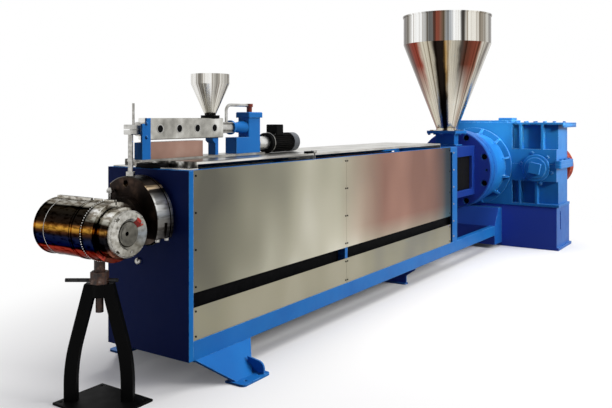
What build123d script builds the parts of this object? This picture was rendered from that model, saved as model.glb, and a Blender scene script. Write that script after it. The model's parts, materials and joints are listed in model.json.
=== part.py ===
# Cable-coating extrusion line: main extruder in a panelled frame, die head on a jack stand,
# small second extruder on top, feed hopper, gearbox on its pedestal and input pulley.
import os
from build123d import *

os.makedirs("parts", exist_ok=True)

# Directions: X runs from the die head to the drive, Z is up, Y is zero on the screw axis.
# Lengths along X are measured from the front face of the end plate.
axis_z = 900.0
overrun = 20.0
touch = 0.3

# Main frame
frame_half = 320.0
frame_bottom = 146.0
frame_top = 1172.0
plate_t = 18.0
post_depth = 35.0
return_t = 6.0
sheet_t = 3.0
beam_top = 250.0
beam_flange = 60.0
beam_web_t = 8.0
beam_flange_t = 10.0
beam_end = 4900.0
rail_leg = 50.0
rail_t = 6.0
post_t = 6.0
post_inset = 60.0
mid_post_front = 1643.0
mid_post_w = 36.0
rear_post_front = 3686.0
rear_post_w = 104.0
rear_plate_t = 18.0
panel_seam = 1661.0
panel_gap = 3.0
panel_groove = 1.5
panel_end = 3633.0
upper_panel_foot = 510.0
lower_panel_head = 430.0
cross_x = 2300.0
cross_t = 8.0
cross_depth = 60.0
cross_height = 80.0

# Covers over the barrel
cover_half = 290.0
cover_front = 100.0
cover_seam = 1275.0
cover_gap = 14.0
cover_end = 3450.0
cover_rise = 42.0
cover_skirt = 14.0
cover_t = 3.0
cover_corner = 8.0

# Front legs and their anchor holes
leg_top_front = 50.0
leg_top_rear = 530.0
leg_foot_front = 213.0
leg_foot_rear = 353.0
leg_spread = 150.0
leg_t = 12.0
pad_front = 190.0
pad_rear = 435.0
pad_inner = 90.0
pad_reach = 222.0
pad_t = 12.0
pad_round = 25.0
anchor_pitch = 120.0
anchor_reach = 185.0
anchor_r = 9.0
gusset_x = 398.0
gusset_t = 12.0
gusset_head = 91.0
gusset_tip = 75.0
gusset_reach = 208.0
gusset_round = 45.0

# Rear leg
rear_leg_x = 2820.0
rear_leg_t = 12.0
rear_leg_half = 236.0
rear_leg_round = 60.0
rear_foot_w = 60.0
rear_foot_t = 10.0

# Barrel and its front flange
screw_r = 75.0
barrel_r = 150.0
barrel_clear = 8.0
flange_r = 240.0
flange_front = -143.0
flange_t = 118.0
flange_edge = 6.0
flange_groove = 10.0
flange_groove_at = 86.0
flange_pin_r = 19.0
flange_pin_pcd_r = 199.0
flange_pin_depth = 30.0
flange_pin_turn = 3.0
flange_slot_w = 22.0
flange_slot_l = 90.0
flange_slot_depth = 20.0
flange_flat_low = 86.0
flange_flat_far = 140.0

# Die head across the barrel
head_x = -367.0
head_r = 137.0
head_near = -170.0
head_far = 292.0
head_cap = 14.0
head_drop = 20.0
head_cap_r = 120.0
groove_r = 116.0
groove_w = 10.0
nose_r = 129.0
nose_l = 55.0
nose_edge = 8.0
cable_r = 24.0
melt_r = 35.0
neck_r = 85.0
neck_flange_r = 130.0
neck_flange_t = 40.0
band_t = 11.0
band_bead = 4.0
band_gap = 6.0
band_near_w = 88.0
band_mid_w = 76.0
band_seam = 8.0
band_lug_t = 5.0
band_lug_h = 14.0
ring_r = 115.0
ring_l = 40.0
ring_bore_r = 60.0
ring_edge = 6.0
ring_bevel = 18.0
ring_slot_w = 22.0
ring_slot_depth = 10.0
ring_slot_count = 4
die_l = 28.0
die_rim = 8.0
die_recess_r = 38.0
die_recess = 12.0
die_hole_r = 11.0
swing_y = 110.0
swing_x_share = 0.6
swing_r = 10.0
swing_l = 97.0
swing_dome_r = 19.0
swing_dome_h = 26.0

# Stand under the die head
stand_turn = 34.0
post_y = -46.0
base_half_x = 158.0
base_half_y = 194.0
base_y = -72.0
base_t = 12.0
base_hole_r = 9.0
base_hole_inset = 28.0
stand_foot = 145.0
stand_leg_w = 62.0
stand_leg_t = 50.0
stand_knee = 205.0
stand_bow_r = 900.0
stand_head_half = 73.0
stand_head_z = 608.0
stand_crotch_half = 28.0
stand_crotch_z = 540.0
socket_r = 38.0
jack_r = 28.0
jack_tail_r = 20.0
jack_clear = 0.3
jack_tail_z = 462.0
jack_shoulder_z = 545.0
jack_edge = 3.0
jack_gap = 0.5
nut_r = 48.0
nut_sides = 6
nut_lift = 0.5
nut_h = 62.0
handle_r = 10.0
handle_far = 175.0
handle_near = 95.0
handle_rise = 16.0

# Melt pipe, clamp and probe over the flange
pipe_x = -118.0
pipe_r = 14.0
pipe_foot_r = 24.0
pipe_foot_h = 24.0
clamp_low = 1364.0
clamp_h = 55.0
clamp_front = -140.0
clamp_back = -70.0
clamp_half = 30.0
clamp_edge = 4.0
clamp_slit = 5.0
probe_x = -98.0
probe_r = 7.0
probe_l = 117.0

# Second extruder on top of the frame
small_axis_rise = 180.0
small_base_front = -90.0
small_base_t = 12.0
small_base_half = 60.0
small_base_end = 1010.0
small_barrel_r = 36.0
small_collar_r = 39.5
small_collar_l = 16.0
small_screw_r = 20.0
small_plate_front = -82.0
small_plate_near = -52.0
small_plate_t = 12.0
small_plate_rise = 61.0
small_plate_drop = 74.0
small_plate_notch = 31.0
small_foot_far = 10.0
box_front = -19.0
box_rear = 600.0
box_half = 46.0
box_rise = 61.0
box_t = 3.0
box_round = 6.0
box_hole_r = 21.0
box_hole_first = 78.0
box_hole_pitch = 153.0
box_hole_count = 4
shield_rear = 412.0
shield_half = 46.0
shield_h = 94.0
bracket_front = 520.0
bracket_rear = 572.0
bracket_foot_front = 545.0
bracket_half = 30.0
bracket_round = 36.0
small_hopper_x = 530.0
small_hopper_r = 119.0
small_hopper_h = 255.0
small_hopper_bend = 194.0
small_hopper_neck_r = 30.0
small_hopper_t = 3.0
small_throat_r = 58.0
small_throat_h = 17.0
column_front = 856.0
column_rear = 983.0
column_half = 46.0
column_round = 8.0
column_cap_low = 1457.0
column_cap_t = 37.0
column_cap_lip = 11.0
drive_box_front = 730.0
drive_box_h = 104.0
nozzle_l = 140.0
nozzle_r = 43.0
nozzle_tip_r = 26.0
nozzle_flange_r = 46.0
nozzle_flange_t = 14.0
valve_r = 18.0
valve_h = 34.0
valve_cap_r = 24.0
valve_cap_t = 22.0
bend_x = 682.0
bend_r = 10.0
bend_round = 40.0
motor_z = 1284.0
adapter_r = 46.0
motor_front = 1090.0
motor_flange_t = 29.0
motor_flange_r = 69.0
motor_r = 56.0
motor_body_l = 240.0
motor_fin_count = 28
motor_fin_r = 68.0
motor_fin_t = 4.0
motor_fan_l = 80.0
motor_fan_edge = 16.0
terminal_front = 1165.0
terminal_l = 84.0
terminal_half = 45.0
terminal_h = 58.0
terminal_round = 6.0

# Feed housing, throat and hopper
housing_half = 235.0
housing_low = 640.0
housing_high = 1160.0
housing_wall = 30.0
housing_end = 4500.0
window_front = 3900.0
window_rear = 4424.0
window_low = 704.0
window_high = 1055.0
window_round = 15.0
hopper_x = 4307.0
throat_half_x = 58.0
throat_half_y = 105.0
throat_wall = 14.0
throat_top = 1321.0
throat_flange_half = 160.0
throat_flange_t = 30.0
throat_foot_lip = 30.0
throat_foot_t = 14.0
hopper_flange_t = 8.0
hopper_flange_half = 135.0
hopper_neck_r = 114.0
hopper_cone_low = 1346.0
hopper_r = 459.0
hopper_drum_h = 304.0
hopper_top = 2540.0
hopper_t = 4.0
hopper_rim = 8.0
hopper_rim_h = 14.0

# Drum flange and lantern
drum_r = 420.0
drum_t = 96.0
drum_gap = 12.0
drum_gap_depth = 24.0
drum_edge = 10.0
drum_bolt_count = 8
drum_bolt_pcd_r = 367.5
drum_bolt_r = 33.0
drum_bolt_depth = 50.0
drum_pin_r = 14.0
lantern_r = 380.0
lantern_wall = 40.0
lantern_flange_r = 443.0
lantern_flange_t = 36.0
lantern_rib_count = 12
lantern_rib_t = 24.0
lantern_rib_l = 90.0

# Gearbox
gear_front = 5125.0
gear_rear = 5600.0
gear_near = -932.0
gear_far = 443.0
gear_step = -443.0
gear_recess = 80.0
gear_low = 473.0
gear_split = 945.0
gear_top = 1403.0
band_low = 752.0
band_high = 1108.0
lip_reach = 58.0
lip_t = 42.0
lip_front = 45.0
lip_rear = 45.0
lip_round = 20.0
roof_t = 20.0
roof_near = 75.0
roof_rear = 105.0
sole_t = 28.0
sole_reach = 26.0
gear_rib_t = 26.0
rib_upper_near = -777.0
rib_upper_far = -536.0
rib_lower_near = -711.0
rib_lower_far = -530.0
input_y = -714.0
cap_r = 150.0
cap_t = 40.0
cap_step_r = 120.0
cap_step_t = 12.0
cap_edge = 6.0
boss_half = 60.0
boss_t = 40.0
boss_turn = 12.0
boss_round = 10.0
lid_front = 5190.0
lid_rear = 5520.0
lid_near = -420.0
lid_far = 360.0
lid_t = 24.0
vent_near = -400.0
vent_far = -240.0
vent_t = 30.0
vent_inset = 70.0
vent_round = 10.0

# Input pulley
shaft_r = 45.0
shaft_clear = 0.3
shaft_seat = 60.0
pulley_gap = 60.0
pulley_r = 240.0
pulley_web_t = 40.0
pulley_web_in = 34.0
pulley_rim_t = 40.0
pulley_hub_r = 85.0
spoke_hole_r = 38.0
spoke_hole_count = 6
belt_count = 5
belt_depth = 18.0
belt_pitch = 25.0
belt_edge = 12.5
belt_top_share = 0.8
belt_root_share = 0.4

# Pedestal
pedestal_front = 5135.0
pedestal_rear = 5690.0
pedestal_wall = 16.0
pedestal_lip = 20.0
pedestal_lip_h = 30.0
pedestal_top_t = 25.0
nose_low = 40.0
nose_knee = 246.0
nose_high = 440.0
nose_top_reach = 107.0
slot_x = 5290.0
slot_w = 36.0
slot_low = 214.0
slot_high = 422.0
slot_depth = 8.0


def block(x0, x1, y0, y1, z0, z1):
    """Box between two corners."""
    middle = Pos((x0 + x1) / 2, (y0 + y1) / 2, (z0 + z1) / 2)
    return middle * Box(x1 - x0, y1 - y0, z1 - z0)


def prism_x(points, x0, x1):
    """Outline in Y and Z, drawn out along X."""
    return extrude(Plane.YZ.offset(x0) * Polygon(*points, align=None), x1 - x0)


def prism_y(points, y0, y1):
    """Outline in X and Z, drawn out along Y."""
    return extrude(Plane.XZ.offset(-y1) * Polygon(*points, align=None), y1 - y0)


def prism_z(points, z0, z1):
    """Outline in X and Y, drawn out along Z."""
    return extrude(Plane.XY.offset(z0) * Polygon(*points, align=None), z1 - z0)


def rod_x(radius, x0, x1, y, z):
    """Cylinder along X."""
    return extrude(Plane(origin=(x0, y, z), z_dir=(1, 0, 0)) * Circle(radius), x1 - x0)


def rod_y(radius, y0, y1, x, z):
    """Cylinder along Y."""
    return extrude(Plane(origin=(x, y0, z), z_dir=(0, 1, 0)) * Circle(radius), y1 - y0)


def rod_z(radius, z0, z1, x, y):
    """Cylinder along Z."""
    return extrude(Plane(origin=(x, y, z0), z_dir=(0, 0, 1)) * Circle(radius), z1 - z0)


def turned_x(points, y, z):
    """Profile of (x, radius) turned about a line along X."""
    face = Plane(origin=(0, y, z), x_dir=(1, 0, 0), z_dir=(0, -1, 0)) * Polygon(*points, align=None)
    return revolve(face, Axis((0, y, z), (1, 0, 0)))


def turned_y(points, x, z):
    """Profile of (y, radius) turned about a line along Y."""
    face = Plane(origin=(x, 0, z), x_dir=(0, 1, 0), z_dir=(1, 0, 0)) * Polygon(*points, align=None)
    return revolve(face, Axis((x, 0, z), (0, 1, 0)))


def turned_z(points, x, y):
    """Profile of (radius, z) turned about a line along Z."""
    face = Plane(origin=(x, y, 0), x_dir=(1, 0, 0), z_dir=(0, -1, 0)) * Polygon(*points, align=None)
    return revolve(face, Axis((x, y, 0), (0, 0, 1)))


def round_x(shape, angle, y, z):
    """The shape turned about a line along X."""
    return Pos(0, y, z) * Rot(angle, 0, 0) * Pos(0, -y, -z) * shape


def round_y(shape, angle, x, z):
    """The shape turned about a line along Y."""
    return Pos(x, 0, z) * Rot(0, angle, 0) * Pos(-x, 0, -z) * shape


def round_z(shape, angle, x, y):
    """The shape turned about a line along Z."""
    return Pos(x, y, 0) * Rot(0, 0, angle) * Pos(-x, -y, 0) * shape


def far_side(shape):
    """The same piece on the far side of the screw axis."""
    return mirror(shape, about=Plane.XZ)


anchor_x = (pad_front + pad_rear) / 2


def keep(name, shape):
    """Write one piece, with the centre of the anchor holes as the origin."""
    export_step(Pos(-anchor_x, 0, 0) * shape, f"parts/{name}.step")


# Front end plate, folded back along both sides, open for the barrel
inner_half = frame_half - return_t
plan = [(0, -frame_half), (post_depth, -frame_half), (post_depth, -inner_half), (plate_t, -inner_half)]
plan += [(plate_t, inner_half), (post_depth, inner_half), (post_depth, frame_half), (0, frame_half)]
end_plate = prism_z(plan, frame_bottom, frame_top)
end_plate -= rod_x(barrel_r + barrel_clear, -overrun, post_depth + overrun, 0, axis_z)
keep("front_end_plate", end_plate)

# Bottom beams: channels that open inwards
beam_in = frame_half - beam_flange
beam_web = frame_half - beam_web_t
beam_low = frame_bottom + beam_flange_t
beam_high = beam_top - beam_flange_t
outline = [(-frame_half, frame_bottom), (-beam_in, frame_bottom), (-beam_in, beam_low)]
outline += [(-beam_web, beam_low), (-beam_web, beam_high), (-beam_in, beam_high)]
outline += [(-beam_in, beam_top), (-frame_half, beam_top)]
near_beam = prism_x(outline, post_depth, beam_end)
keep("near_bottom_beam", near_beam)
keep("far_bottom_beam", far_side(near_beam))

# Top rails: angles along the top edges
rail_low = frame_top - rail_leg
rail_in = inner_half - rail_t
rail_edge = inner_half - rail_leg
frame_end = rear_post_front + rear_post_w
outline = [(-inner_half, rail_low), (-rail_in, rail_low), (-rail_in, frame_top - rail_t)]
outline += [(-rail_edge, frame_top - rail_t), (-rail_edge, frame_top), (-inner_half, frame_top)]
near_rail = prism_x(outline, plate_t, frame_end)
keep("near_top_rail", near_rail)
keep("far_top_rail", far_side(near_rail))

# Middle posts: channels that open inwards, from the beam to the rail
post_in = inner_half - post_inset
post_web = inner_half - post_t
mid_post_rear = mid_post_front + mid_post_w
plan = [(mid_post_front, -inner_half), (mid_post_rear, -inner_half), (mid_post_rear, -post_in)]
plan += [(mid_post_rear - post_t, -post_in), (mid_post_rear - post_t, -post_web)]
plan += [(mid_post_front + post_t, -post_web), (mid_post_front + post_t, -post_in)]
plan += [(mid_post_front, -post_in)]
near_post = prism_z(plan, beam_top, rail_low)
keep("near_middle_post", near_post)
keep("far_middle_post", far_side(near_post))

# Rear end plate, folded forward along both sides as the rear posts, open for the barrel
rear_face = frame_end + rear_plate_t
plan = [(rear_post_front, -inner_half), (rear_face, -inner_half), (rear_face, inner_half)]
plan += [(rear_post_front, inner_half), (rear_post_front, post_web), (frame_end, post_web)]
plan += [(frame_end, -post_web), (rear_post_front, -post_web)]
rear_end = prism_z(plan, beam_top, rail_low)
rear_end += block(frame_end, rear_face, -inner_half, inner_half, rail_low, frame_top)
rear_end -= rod_x(barrel_r + barrel_clear, frame_end - overrun, rear_face + overrun, 0, axis_z)
keep("rear_end_plate", rear_end)

# Cross member between the webs of the beams
cross_rear = cross_x + cross_depth
cross_web = cross_x + cross_t
cross_high = beam_low + cross_height
outline = [(cross_x, beam_low), (cross_rear, beam_low), (cross_rear, beam_low + cross_t)]
outline += [(cross_web, beam_low + cross_t), (cross_web, cross_high - cross_t)]
outline += [(cross_rear, cross_high - cross_t), (cross_rear, cross_high), (cross_x, cross_high)]
keep("frame_cross_member", prism_y(outline, -beam_web, beam_web))


def panel(low, high):
    """Flat sheet on the near side of the frame, with a groove where two lengths meet."""
    face = -inner_half - sheet_t
    sheet = block(post_depth, panel_end, face, -inner_half, low, high)
    start = panel_seam - panel_gap / 2
    end = start + panel_gap
    return sheet - block(start, end, face - overrun, face + panel_groove, low - overrun, high + overrun)


near_upper_panel = panel(upper_panel_foot, frame_top)
keep("near_upper_panel", near_upper_panel)
keep("far_upper_panel", far_side(near_upper_panel))
near_lower_panel = panel(beam_top, lower_panel_head)
keep("near_lower_panel", near_lower_panel)
keep("far_lower_panel", far_side(near_lower_panel))

# Covers: low trays turned over, whose end skirts rest on the rails and side skirts stop above them
cover_top = frame_top + cover_rise


def barrel_cover(front, rear):
    """One tray between two places along the frame."""
    inside_front = front + cover_t
    inside_rear = rear - cover_t
    inside = cover_half - cover_t
    shell = block(front, rear, -cover_half, cover_half, frame_top, cover_top)
    shell = fillet(shell.edges().filter_by(Axis.X).group_by(Axis.Z)[-1], cover_corner)
    shell -= block(inside_front, inside_rear, -inside, inside, frame_top - overrun, cover_top - cover_t)
    wide = cover_half + overrun
    skirt_low = cover_top - cover_skirt
    return shell - block(inside_front, inside_rear, -wide, wide, frame_top - overrun, skirt_low)


keep("front_barrel_cover", barrel_cover(cover_front, cover_seam - cover_gap / 2))
keep("rear_barrel_cover", barrel_cover(cover_seam + cover_gap / 2, cover_end))

# Front legs: a flange under the beam, a splayed plate, a pad with two anchor holes and a gusset
leg_drop = frame_bottom - pad_t
leg_run = (leg_spread ** 2 + leg_drop ** 2) ** 0.5
leg_plane = Plane(origin=(0, -frame_half, frame_bottom), x_dir=(1, 0, 0), z_dir=(0, leg_drop, -leg_spread))
outline = [(leg_top_front, 0), (leg_top_rear, 0), (leg_foot_rear, leg_run), (leg_foot_front, leg_run)]
leg = extrude(leg_plane * Polygon(*outline, align=None), leg_t)
leg += block(leg_top_front, leg_top_rear, -frame_half, -beam_in, frame_bottom - leg_t, frame_bottom)
pad_in = -frame_half - pad_inner
pad = block(pad_front, pad_rear, -frame_half - pad_reach, pad_in, 0, pad_t)
leg += fillet(pad.edges().filter_by(Axis.Z).group_by(Axis.Y)[0], pad_round)
gusset_out = -frame_half - gusset_reach
outline = [(pad_in, 0), (gusset_out, 0), (gusset_out, gusset_tip), (pad_in, gusset_head)]
gusset = prism_x(outline, gusset_x, gusset_x + gusset_t)
outer_edges = gusset.edges().filter_by(Axis.X).group_by(Axis.Y)[0]
leg += fillet(outer_edges.sort_by(Axis.Z)[-1], gusset_round)
leg -= block(leg_top_front, leg_top_rear, -frame_half - pad_reach, frame_half, -frame_half, 0)
anchor_y = frame_half + anchor_reach
for anchor_side in (-1, 1):
    leg -= rod_z(anchor_r, -overrun, pad_t + overrun, anchor_x + anchor_side * anchor_pitch / 2, -anchor_y)
keep("front_near_leg", leg)
keep("front_far_leg", far_side(leg))

# Rear leg: one plate across the frame with sloped shoulders and a foot strip
shoulder = frame_bottom - rear_leg_t
outline = [(-frame_half, frame_bottom), (-frame_half, shoulder)]
outline += [(-rear_leg_half, shoulder - rear_leg_round)]
outline += [(-rear_leg_half, 0), (rear_leg_half, 0), (rear_leg_half, shoulder - rear_leg_round)]
outline += [(frame_half, shoulder), (frame_half, frame_bottom)]
rear_leg = prism_x(outline, rear_leg_x, rear_leg_x + rear_leg_t)
foot_front = rear_leg_x + rear_leg_t / 2 - rear_foot_w / 2
rear_leg += block(foot_front, foot_front + rear_foot_w, -rear_leg_half, rear_leg_half, 0, rear_foot_t)
keep("rear_leg", rear_leg)

# Barrel with the screw bore and the feed opening
flange_back = flange_front + flange_t
bore_x = throat_half_x - throat_wall
bore_y = throat_half_y - throat_wall
barrel = rod_x(barrel_r, flange_back, housing_end, 0, axis_z)
barrel -= rod_x(screw_r, flange_back - overrun, housing_end + overrun, 0, axis_z)
barrel -= block(hopper_x - bore_x, hopper_x + bore_x, -bore_y, bore_y, axis_z, axis_z + barrel_r + overrun)
keep("barrel", barrel)

# Flange on the front of the barrel: round, with two flats, a groove, a pin hole and a spanner slot in the rim
groove_front = flange_front + flange_groove_at
groove_back = groove_front + flange_groove
profile = [(flange_back, screw_r), (flange_back, flange_r - flange_edge)]
profile += [(flange_back - flange_edge, flange_r)]
profile += [(groove_back, flange_r), (groove_back, flange_r - flange_groove)]
profile += [(groove_front, flange_r - flange_groove), (groove_front, flange_r)]
profile += [(flange_front + flange_edge, flange_r), (flange_front, flange_r - flange_edge)]
profile += [(flange_front, screw_r)]
flange = turned_x(profile, 0, axis_z)
pin_z = axis_z + flange_pin_pcd_r
pin_hole = rod_x(flange_pin_r, flange_front - overrun, flange_front + flange_pin_depth, 0, pin_z)
flange -= round_x(pin_hole, -flange_pin_turn, 0, axis_z)
rim_slot_x = flange_front + flange_groove_at / 2
rim_slot_end = rim_slot_x + flange_slot_w
rim_slot_y = -flange_r + flange_slot_depth
rim_slot = block(rim_slot_x, rim_slot_end, -flange_r - overrun, rim_slot_y, axis_z - flange_slot_l, axis_z)
wide = flange_r + overrun
behind = flange_back + overrun
flange -= block(flange_front - overrun, behind, -wide, wide, axis_z - wide, axis_z - flange_flat_low)
flange -= block(flange_front - overrun, behind, flange_flat_far, wide, axis_z - wide, axis_z + wide)
keep("barrel_flange", flange - rim_slot)

# Die head body: drum, groove and nose, with the cable bore through it
head_z = axis_z - head_drop
nose_near = head_near - groove_w - nose_l
profile = [(nose_near, cable_r), (nose_near, nose_r - nose_edge), (nose_near + nose_edge, nose_r)]
profile += [(head_near - groove_w, nose_r), (head_near - groove_w, groove_r), (head_near, groove_r)]
profile += [(head_near, head_r), (head_far, head_r)]
profile += [(head_far + head_cap, head_cap_r), (head_far + head_cap, cable_r)]
head = turned_y(profile, head_x, head_z)
head -= rod_x(melt_r, head_x, head_x + head_r + overrun, 0, axis_z)
keep("die_head_body", head)

# Neck between the barrel flange and the die head
band_r = head_r + band_t
head_span = (head_near - overrun, head_far + overrun)
neck = rod_x(neck_flange_r, flange_front - neck_flange_t, flange_front, 0, axis_z)
neck -= rod_y(band_r + band_bead + touch, head_span[0], head_span[1], head_x, head_z)
neck += rod_x(neck_r, head_x + head_r / 2, flange_front, 0, axis_z)
neck -= rod_y(head_r + touch, head_span[0], head_span[1], head_x, head_z)
neck -= rod_x(melt_r, head_x, flange_front + overrun, 0, axis_z)
keep("die_head_neck", neck)


def heater_band(start, end, seam):
    """Ring round the die head, open at the neck, beaded at both edges, with clamp lugs at its seam on top."""
    low = head_r + touch
    beads = band_r + band_bead
    width = band_bead * 2
    points = [(start, low), (start, beads), (start + width, beads), (start + width, band_r)]
    points += [(end - width, band_r), (end - width, beads), (end, beads), (end, low)]
    ring = turned_y(points, head_x, head_z)
    half = seam / 2
    lug_top = head_z + band_r + band_lug_h
    ring += block(head_x - half - band_lug_t, head_x + half + band_lug_t, start + width, end - width,
                  head_z + head_r + band_t / 2, lug_top)
    if seam:
        ring -= block(head_x - half, head_x + half, start - overrun, end + overrun, head_z, lug_top + overrun)
    return ring - rod_x(neck_r + band_bead, head_x, flange_front, 0, axis_z)


band_near_end = head_near + band_near_w
band_mid_start = band_near_end + band_gap
band_mid_end = band_mid_start + band_mid_w
keep("near_heater_band", heater_band(head_near, band_near_end, band_seam))
keep("middle_heater_band", heater_band(band_mid_start, band_mid_end, 0))
keep("far_heater_band", heater_band(band_mid_end + band_gap, head_far, band_seam))

# Ring nut with spanner slots, and the die inside it
ring_face = nose_near - ring_l
profile = [(nose_near, ring_bore_r), (nose_near, ring_r), (ring_face + ring_edge, ring_r)]
profile += [(ring_face, ring_r - ring_edge), (ring_face, ring_bore_r + ring_bevel)]
profile += [(ring_face + ring_bevel, ring_bore_r)]
ring_nut = turned_y(profile, head_x, head_z)
slot_in = head_x + ring_r - ring_slot_depth
slot_out = head_x + ring_r + overrun
slot_half = ring_slot_w / 2
slot_back = nose_near - ring_l / 2
slot = block(slot_in, slot_out, ring_face - overrun, slot_back, head_z - slot_half, head_z + slot_half)
for number in range(ring_slot_count):
    ring_nut -= round_y(slot, 360 * (number + 0.5) / ring_slot_count, head_x, head_z)
keep("die_ring_nut", ring_nut)
die_r = ring_bore_r - touch
die_face = nose_near - die_l
profile = [(nose_near, die_hole_r), (nose_near, die_r), (die_face, die_r), (die_face, die_r - die_rim)]
profile += [(die_face + die_recess / 2, die_recess_r), (die_face + die_recess, die_hole_r)]
keep("die", turned_y(profile, head_x, head_z))

# Swing bolt with a domed nut on the rim of the neck's flange
swing_x = flange_front - neck_flange_t * swing_x_share
swing_foot = axis_z + (neck_flange_r ** 2 - (swing_y + swing_r) ** 2) ** 0.5
swing_top = swing_foot + swing_l
profile = [(0, swing_foot), (swing_r, swing_foot), (swing_r, swing_top), (swing_dome_r, swing_top)]
profile += [(swing_dome_r, swing_top + swing_dome_h / 2), (swing_r, swing_top + swing_dome_h)]
profile += [(0, swing_top + swing_dome_h)]
swing = turned_z(profile, swing_x, swing_y)
rim_start = flange_front - neck_flange_t - overrun
keep("swing_bolt", swing - rod_x(neck_flange_r + touch, rim_start, flange_front, 0, axis_z))

# Stand: base plate, welded frame of two bowed legs under a head with the jack's bore
base_near = base_y - base_half_y
base = block(head_x - base_half_x, head_x + base_half_x, base_near, base_y + base_half_y, 0, base_t)
for side_x in (-1, 1):
    for side_y in (-1, 1):
        hole_x = head_x + side_x * (base_half_x - base_hole_inset)
        hole_y = base_y + side_y * (base_half_y - base_hole_inset)
        base -= rod_z(base_hole_r, -overrun, base_t + overrun, hole_x, hole_y)
keep("stand_base_plate", base)
outer = stand_foot + stand_leg_w / 2
inner = stand_foot - stand_leg_w / 2
outline = [(-stand_head_half, stand_head_z), (-outer, stand_knee), (-outer, base_t)]
outline += [(-inner, base_t), (-inner, stand_knee)]
outline += [(-stand_crotch_half, stand_crotch_z), (stand_crotch_half, stand_crotch_z), (inner, stand_knee)]
outline += [(inner, base_t), (outer, base_t), (outer, stand_knee), (stand_head_half, stand_head_z)]
stand = prism_x(outline, head_x - stand_leg_t / 2, head_x + stand_leg_t / 2)
knees = [e for e in stand.edges().filter_by(Axis.X) if abs(e.center().Z - stand_knee) < touch]
stand = fillet(knees, stand_bow_r)
stand += rod_z(socket_r, stand_crotch_z, stand_head_z, head_x, 0)
stand -= rod_z(jack_r + jack_clear, stand_crotch_z - overrun, stand_head_z + overrun, head_x, 0)
keep("stand_frame", Pos(0, post_y, 0) * round_z(stand, stand_turn, head_x, 0))

# Jack screw that carries the die head, and the jack nut with its two handles
jack_top = head_z - band_r - band_bead - jack_gap
profile = [(0, jack_tail_z), (jack_tail_r, jack_tail_z)]
profile += [(jack_tail_r, jack_shoulder_z), (jack_r, jack_shoulder_z)]
profile += [(jack_r, jack_top - jack_edge), (jack_r - jack_edge, jack_top), (0, jack_top)]
keep("jack_screw", turned_z(profile, head_x, post_y))
nut_low = stand_head_z + nut_lift
nut_high = nut_low + nut_h
nut = extrude(Plane(origin=(head_x, 0, nut_low)) * RegularPolygon(nut_r, side_count=nut_sides), nut_h)
handle_z = nut_low + handle_rise
nut += rod_y(handle_r, -handle_near, handle_far, head_x, handle_z)
nut -= rod_z(jack_r + jack_clear, nut_low - overrun, nut_high + overrun, head_x, 0)
keep("jack_nut", Pos(0, post_y, 0) * round_z(nut, stand_turn, head_x, 0))

# Melt pipe from the second extruder down to the barrel flange, its clamp block and the probe
pipe_seat = axis_z + (flange_r ** 2 - pipe_foot_r ** 2) ** 0.5 - touch
profile = [(0, pipe_seat - pipe_foot_h), (pipe_foot_r, pipe_seat - pipe_foot_h)]
profile += [(pipe_foot_r, pipe_seat + pipe_foot_h)]
profile += [(pipe_r, pipe_seat + pipe_foot_h), (pipe_r, clamp_low), (0, clamp_low)]
melt_pipe = turned_z(profile, pipe_x, 0)
melt_pipe -= rod_x(flange_r + touch, flange_front - overrun, flange_back + overrun, 0, axis_z)
keep("melt_pipe", melt_pipe)
clamp_high = clamp_low + clamp_h
clamp = block(clamp_front, clamp_back, -clamp_half, clamp_half, clamp_low, clamp_high)
clamp = chamfer(clamp.edges().filter_by(Axis.X), clamp_edge)
slit_low = (clamp_low + clamp_high - clamp_slit) / 2
wide = clamp_half + overrun
clamp -= block(clamp_front - overrun, probe_x, -wide, wide, slit_low, slit_low + clamp_slit)
keep("melt_clamp_block", clamp)
keep("melt_probe", rod_z(probe_r, clamp_high, clamp_high + probe_l, probe_x, 0))

# Second extruder: base plate with the curved bracket under the feed end
small_axis = cover_top + small_axis_rise
base_top = cover_top + small_base_t
box_low = small_axis - box_rise
box_high = small_axis + box_rise
small_base = block(small_base_front, small_base_end, -small_base_half, small_base_half, cover_top, base_top)
outline = [(bracket_foot_front, base_top), (bracket_rear, base_top)]
outline += [(bracket_rear, box_low), (bracket_front, box_low)]
outline += [(bracket_front, box_low - bracket_round / 2), (bracket_foot_front, box_low - bracket_round)]
small_base += prism_y(outline, -bracket_half, bracket_half)
keep("second_extruder_base", small_base)

# Second barrel with a collar at the front
nozzle_front = column_front - nozzle_l
profile = [(clamp_back, small_screw_r), (clamp_back, small_collar_r)]
profile += [(clamp_back + small_collar_l, small_collar_r)]
profile += [(clamp_back + small_collar_l, small_barrel_r), (nozzle_front, small_barrel_r)]
profile += [(nozzle_front, small_screw_r)]
small_barrel = turned_x(profile, 0, small_axis)
small_barrel_top = small_axis + small_barrel_r
small_barrel -= rod_z(small_hopper_neck_r, small_axis, small_barrel_top + overrun, small_hopper_x, 0)
keep("second_barrel", small_barrel)

# Front plate beside the barrel, notched at the top, on a block foot
plate_high = small_axis + small_plate_rise
plate_low = small_axis - small_plate_drop
plate_in = small_plate_near + small_plate_t
outline = [(small_plate_near, base_top), (small_foot_far, base_top), (small_foot_far, plate_low)]
outline += [(plate_in, plate_low), (plate_in, plate_high), (small_plate_near, plate_high)]
small_plate = prism_x(outline, small_plate_front, box_front)
notch_end = (small_plate_front + box_front) / 2
notch_start = small_plate_front - overrun
notch_near = small_plate_near - overrun
notch_low = plate_high - small_plate_notch
small_plate -= block(notch_start, notch_end, notch_near, 0, notch_low, plate_high + overrun)
keep("second_front_plate", small_plate)

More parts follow.
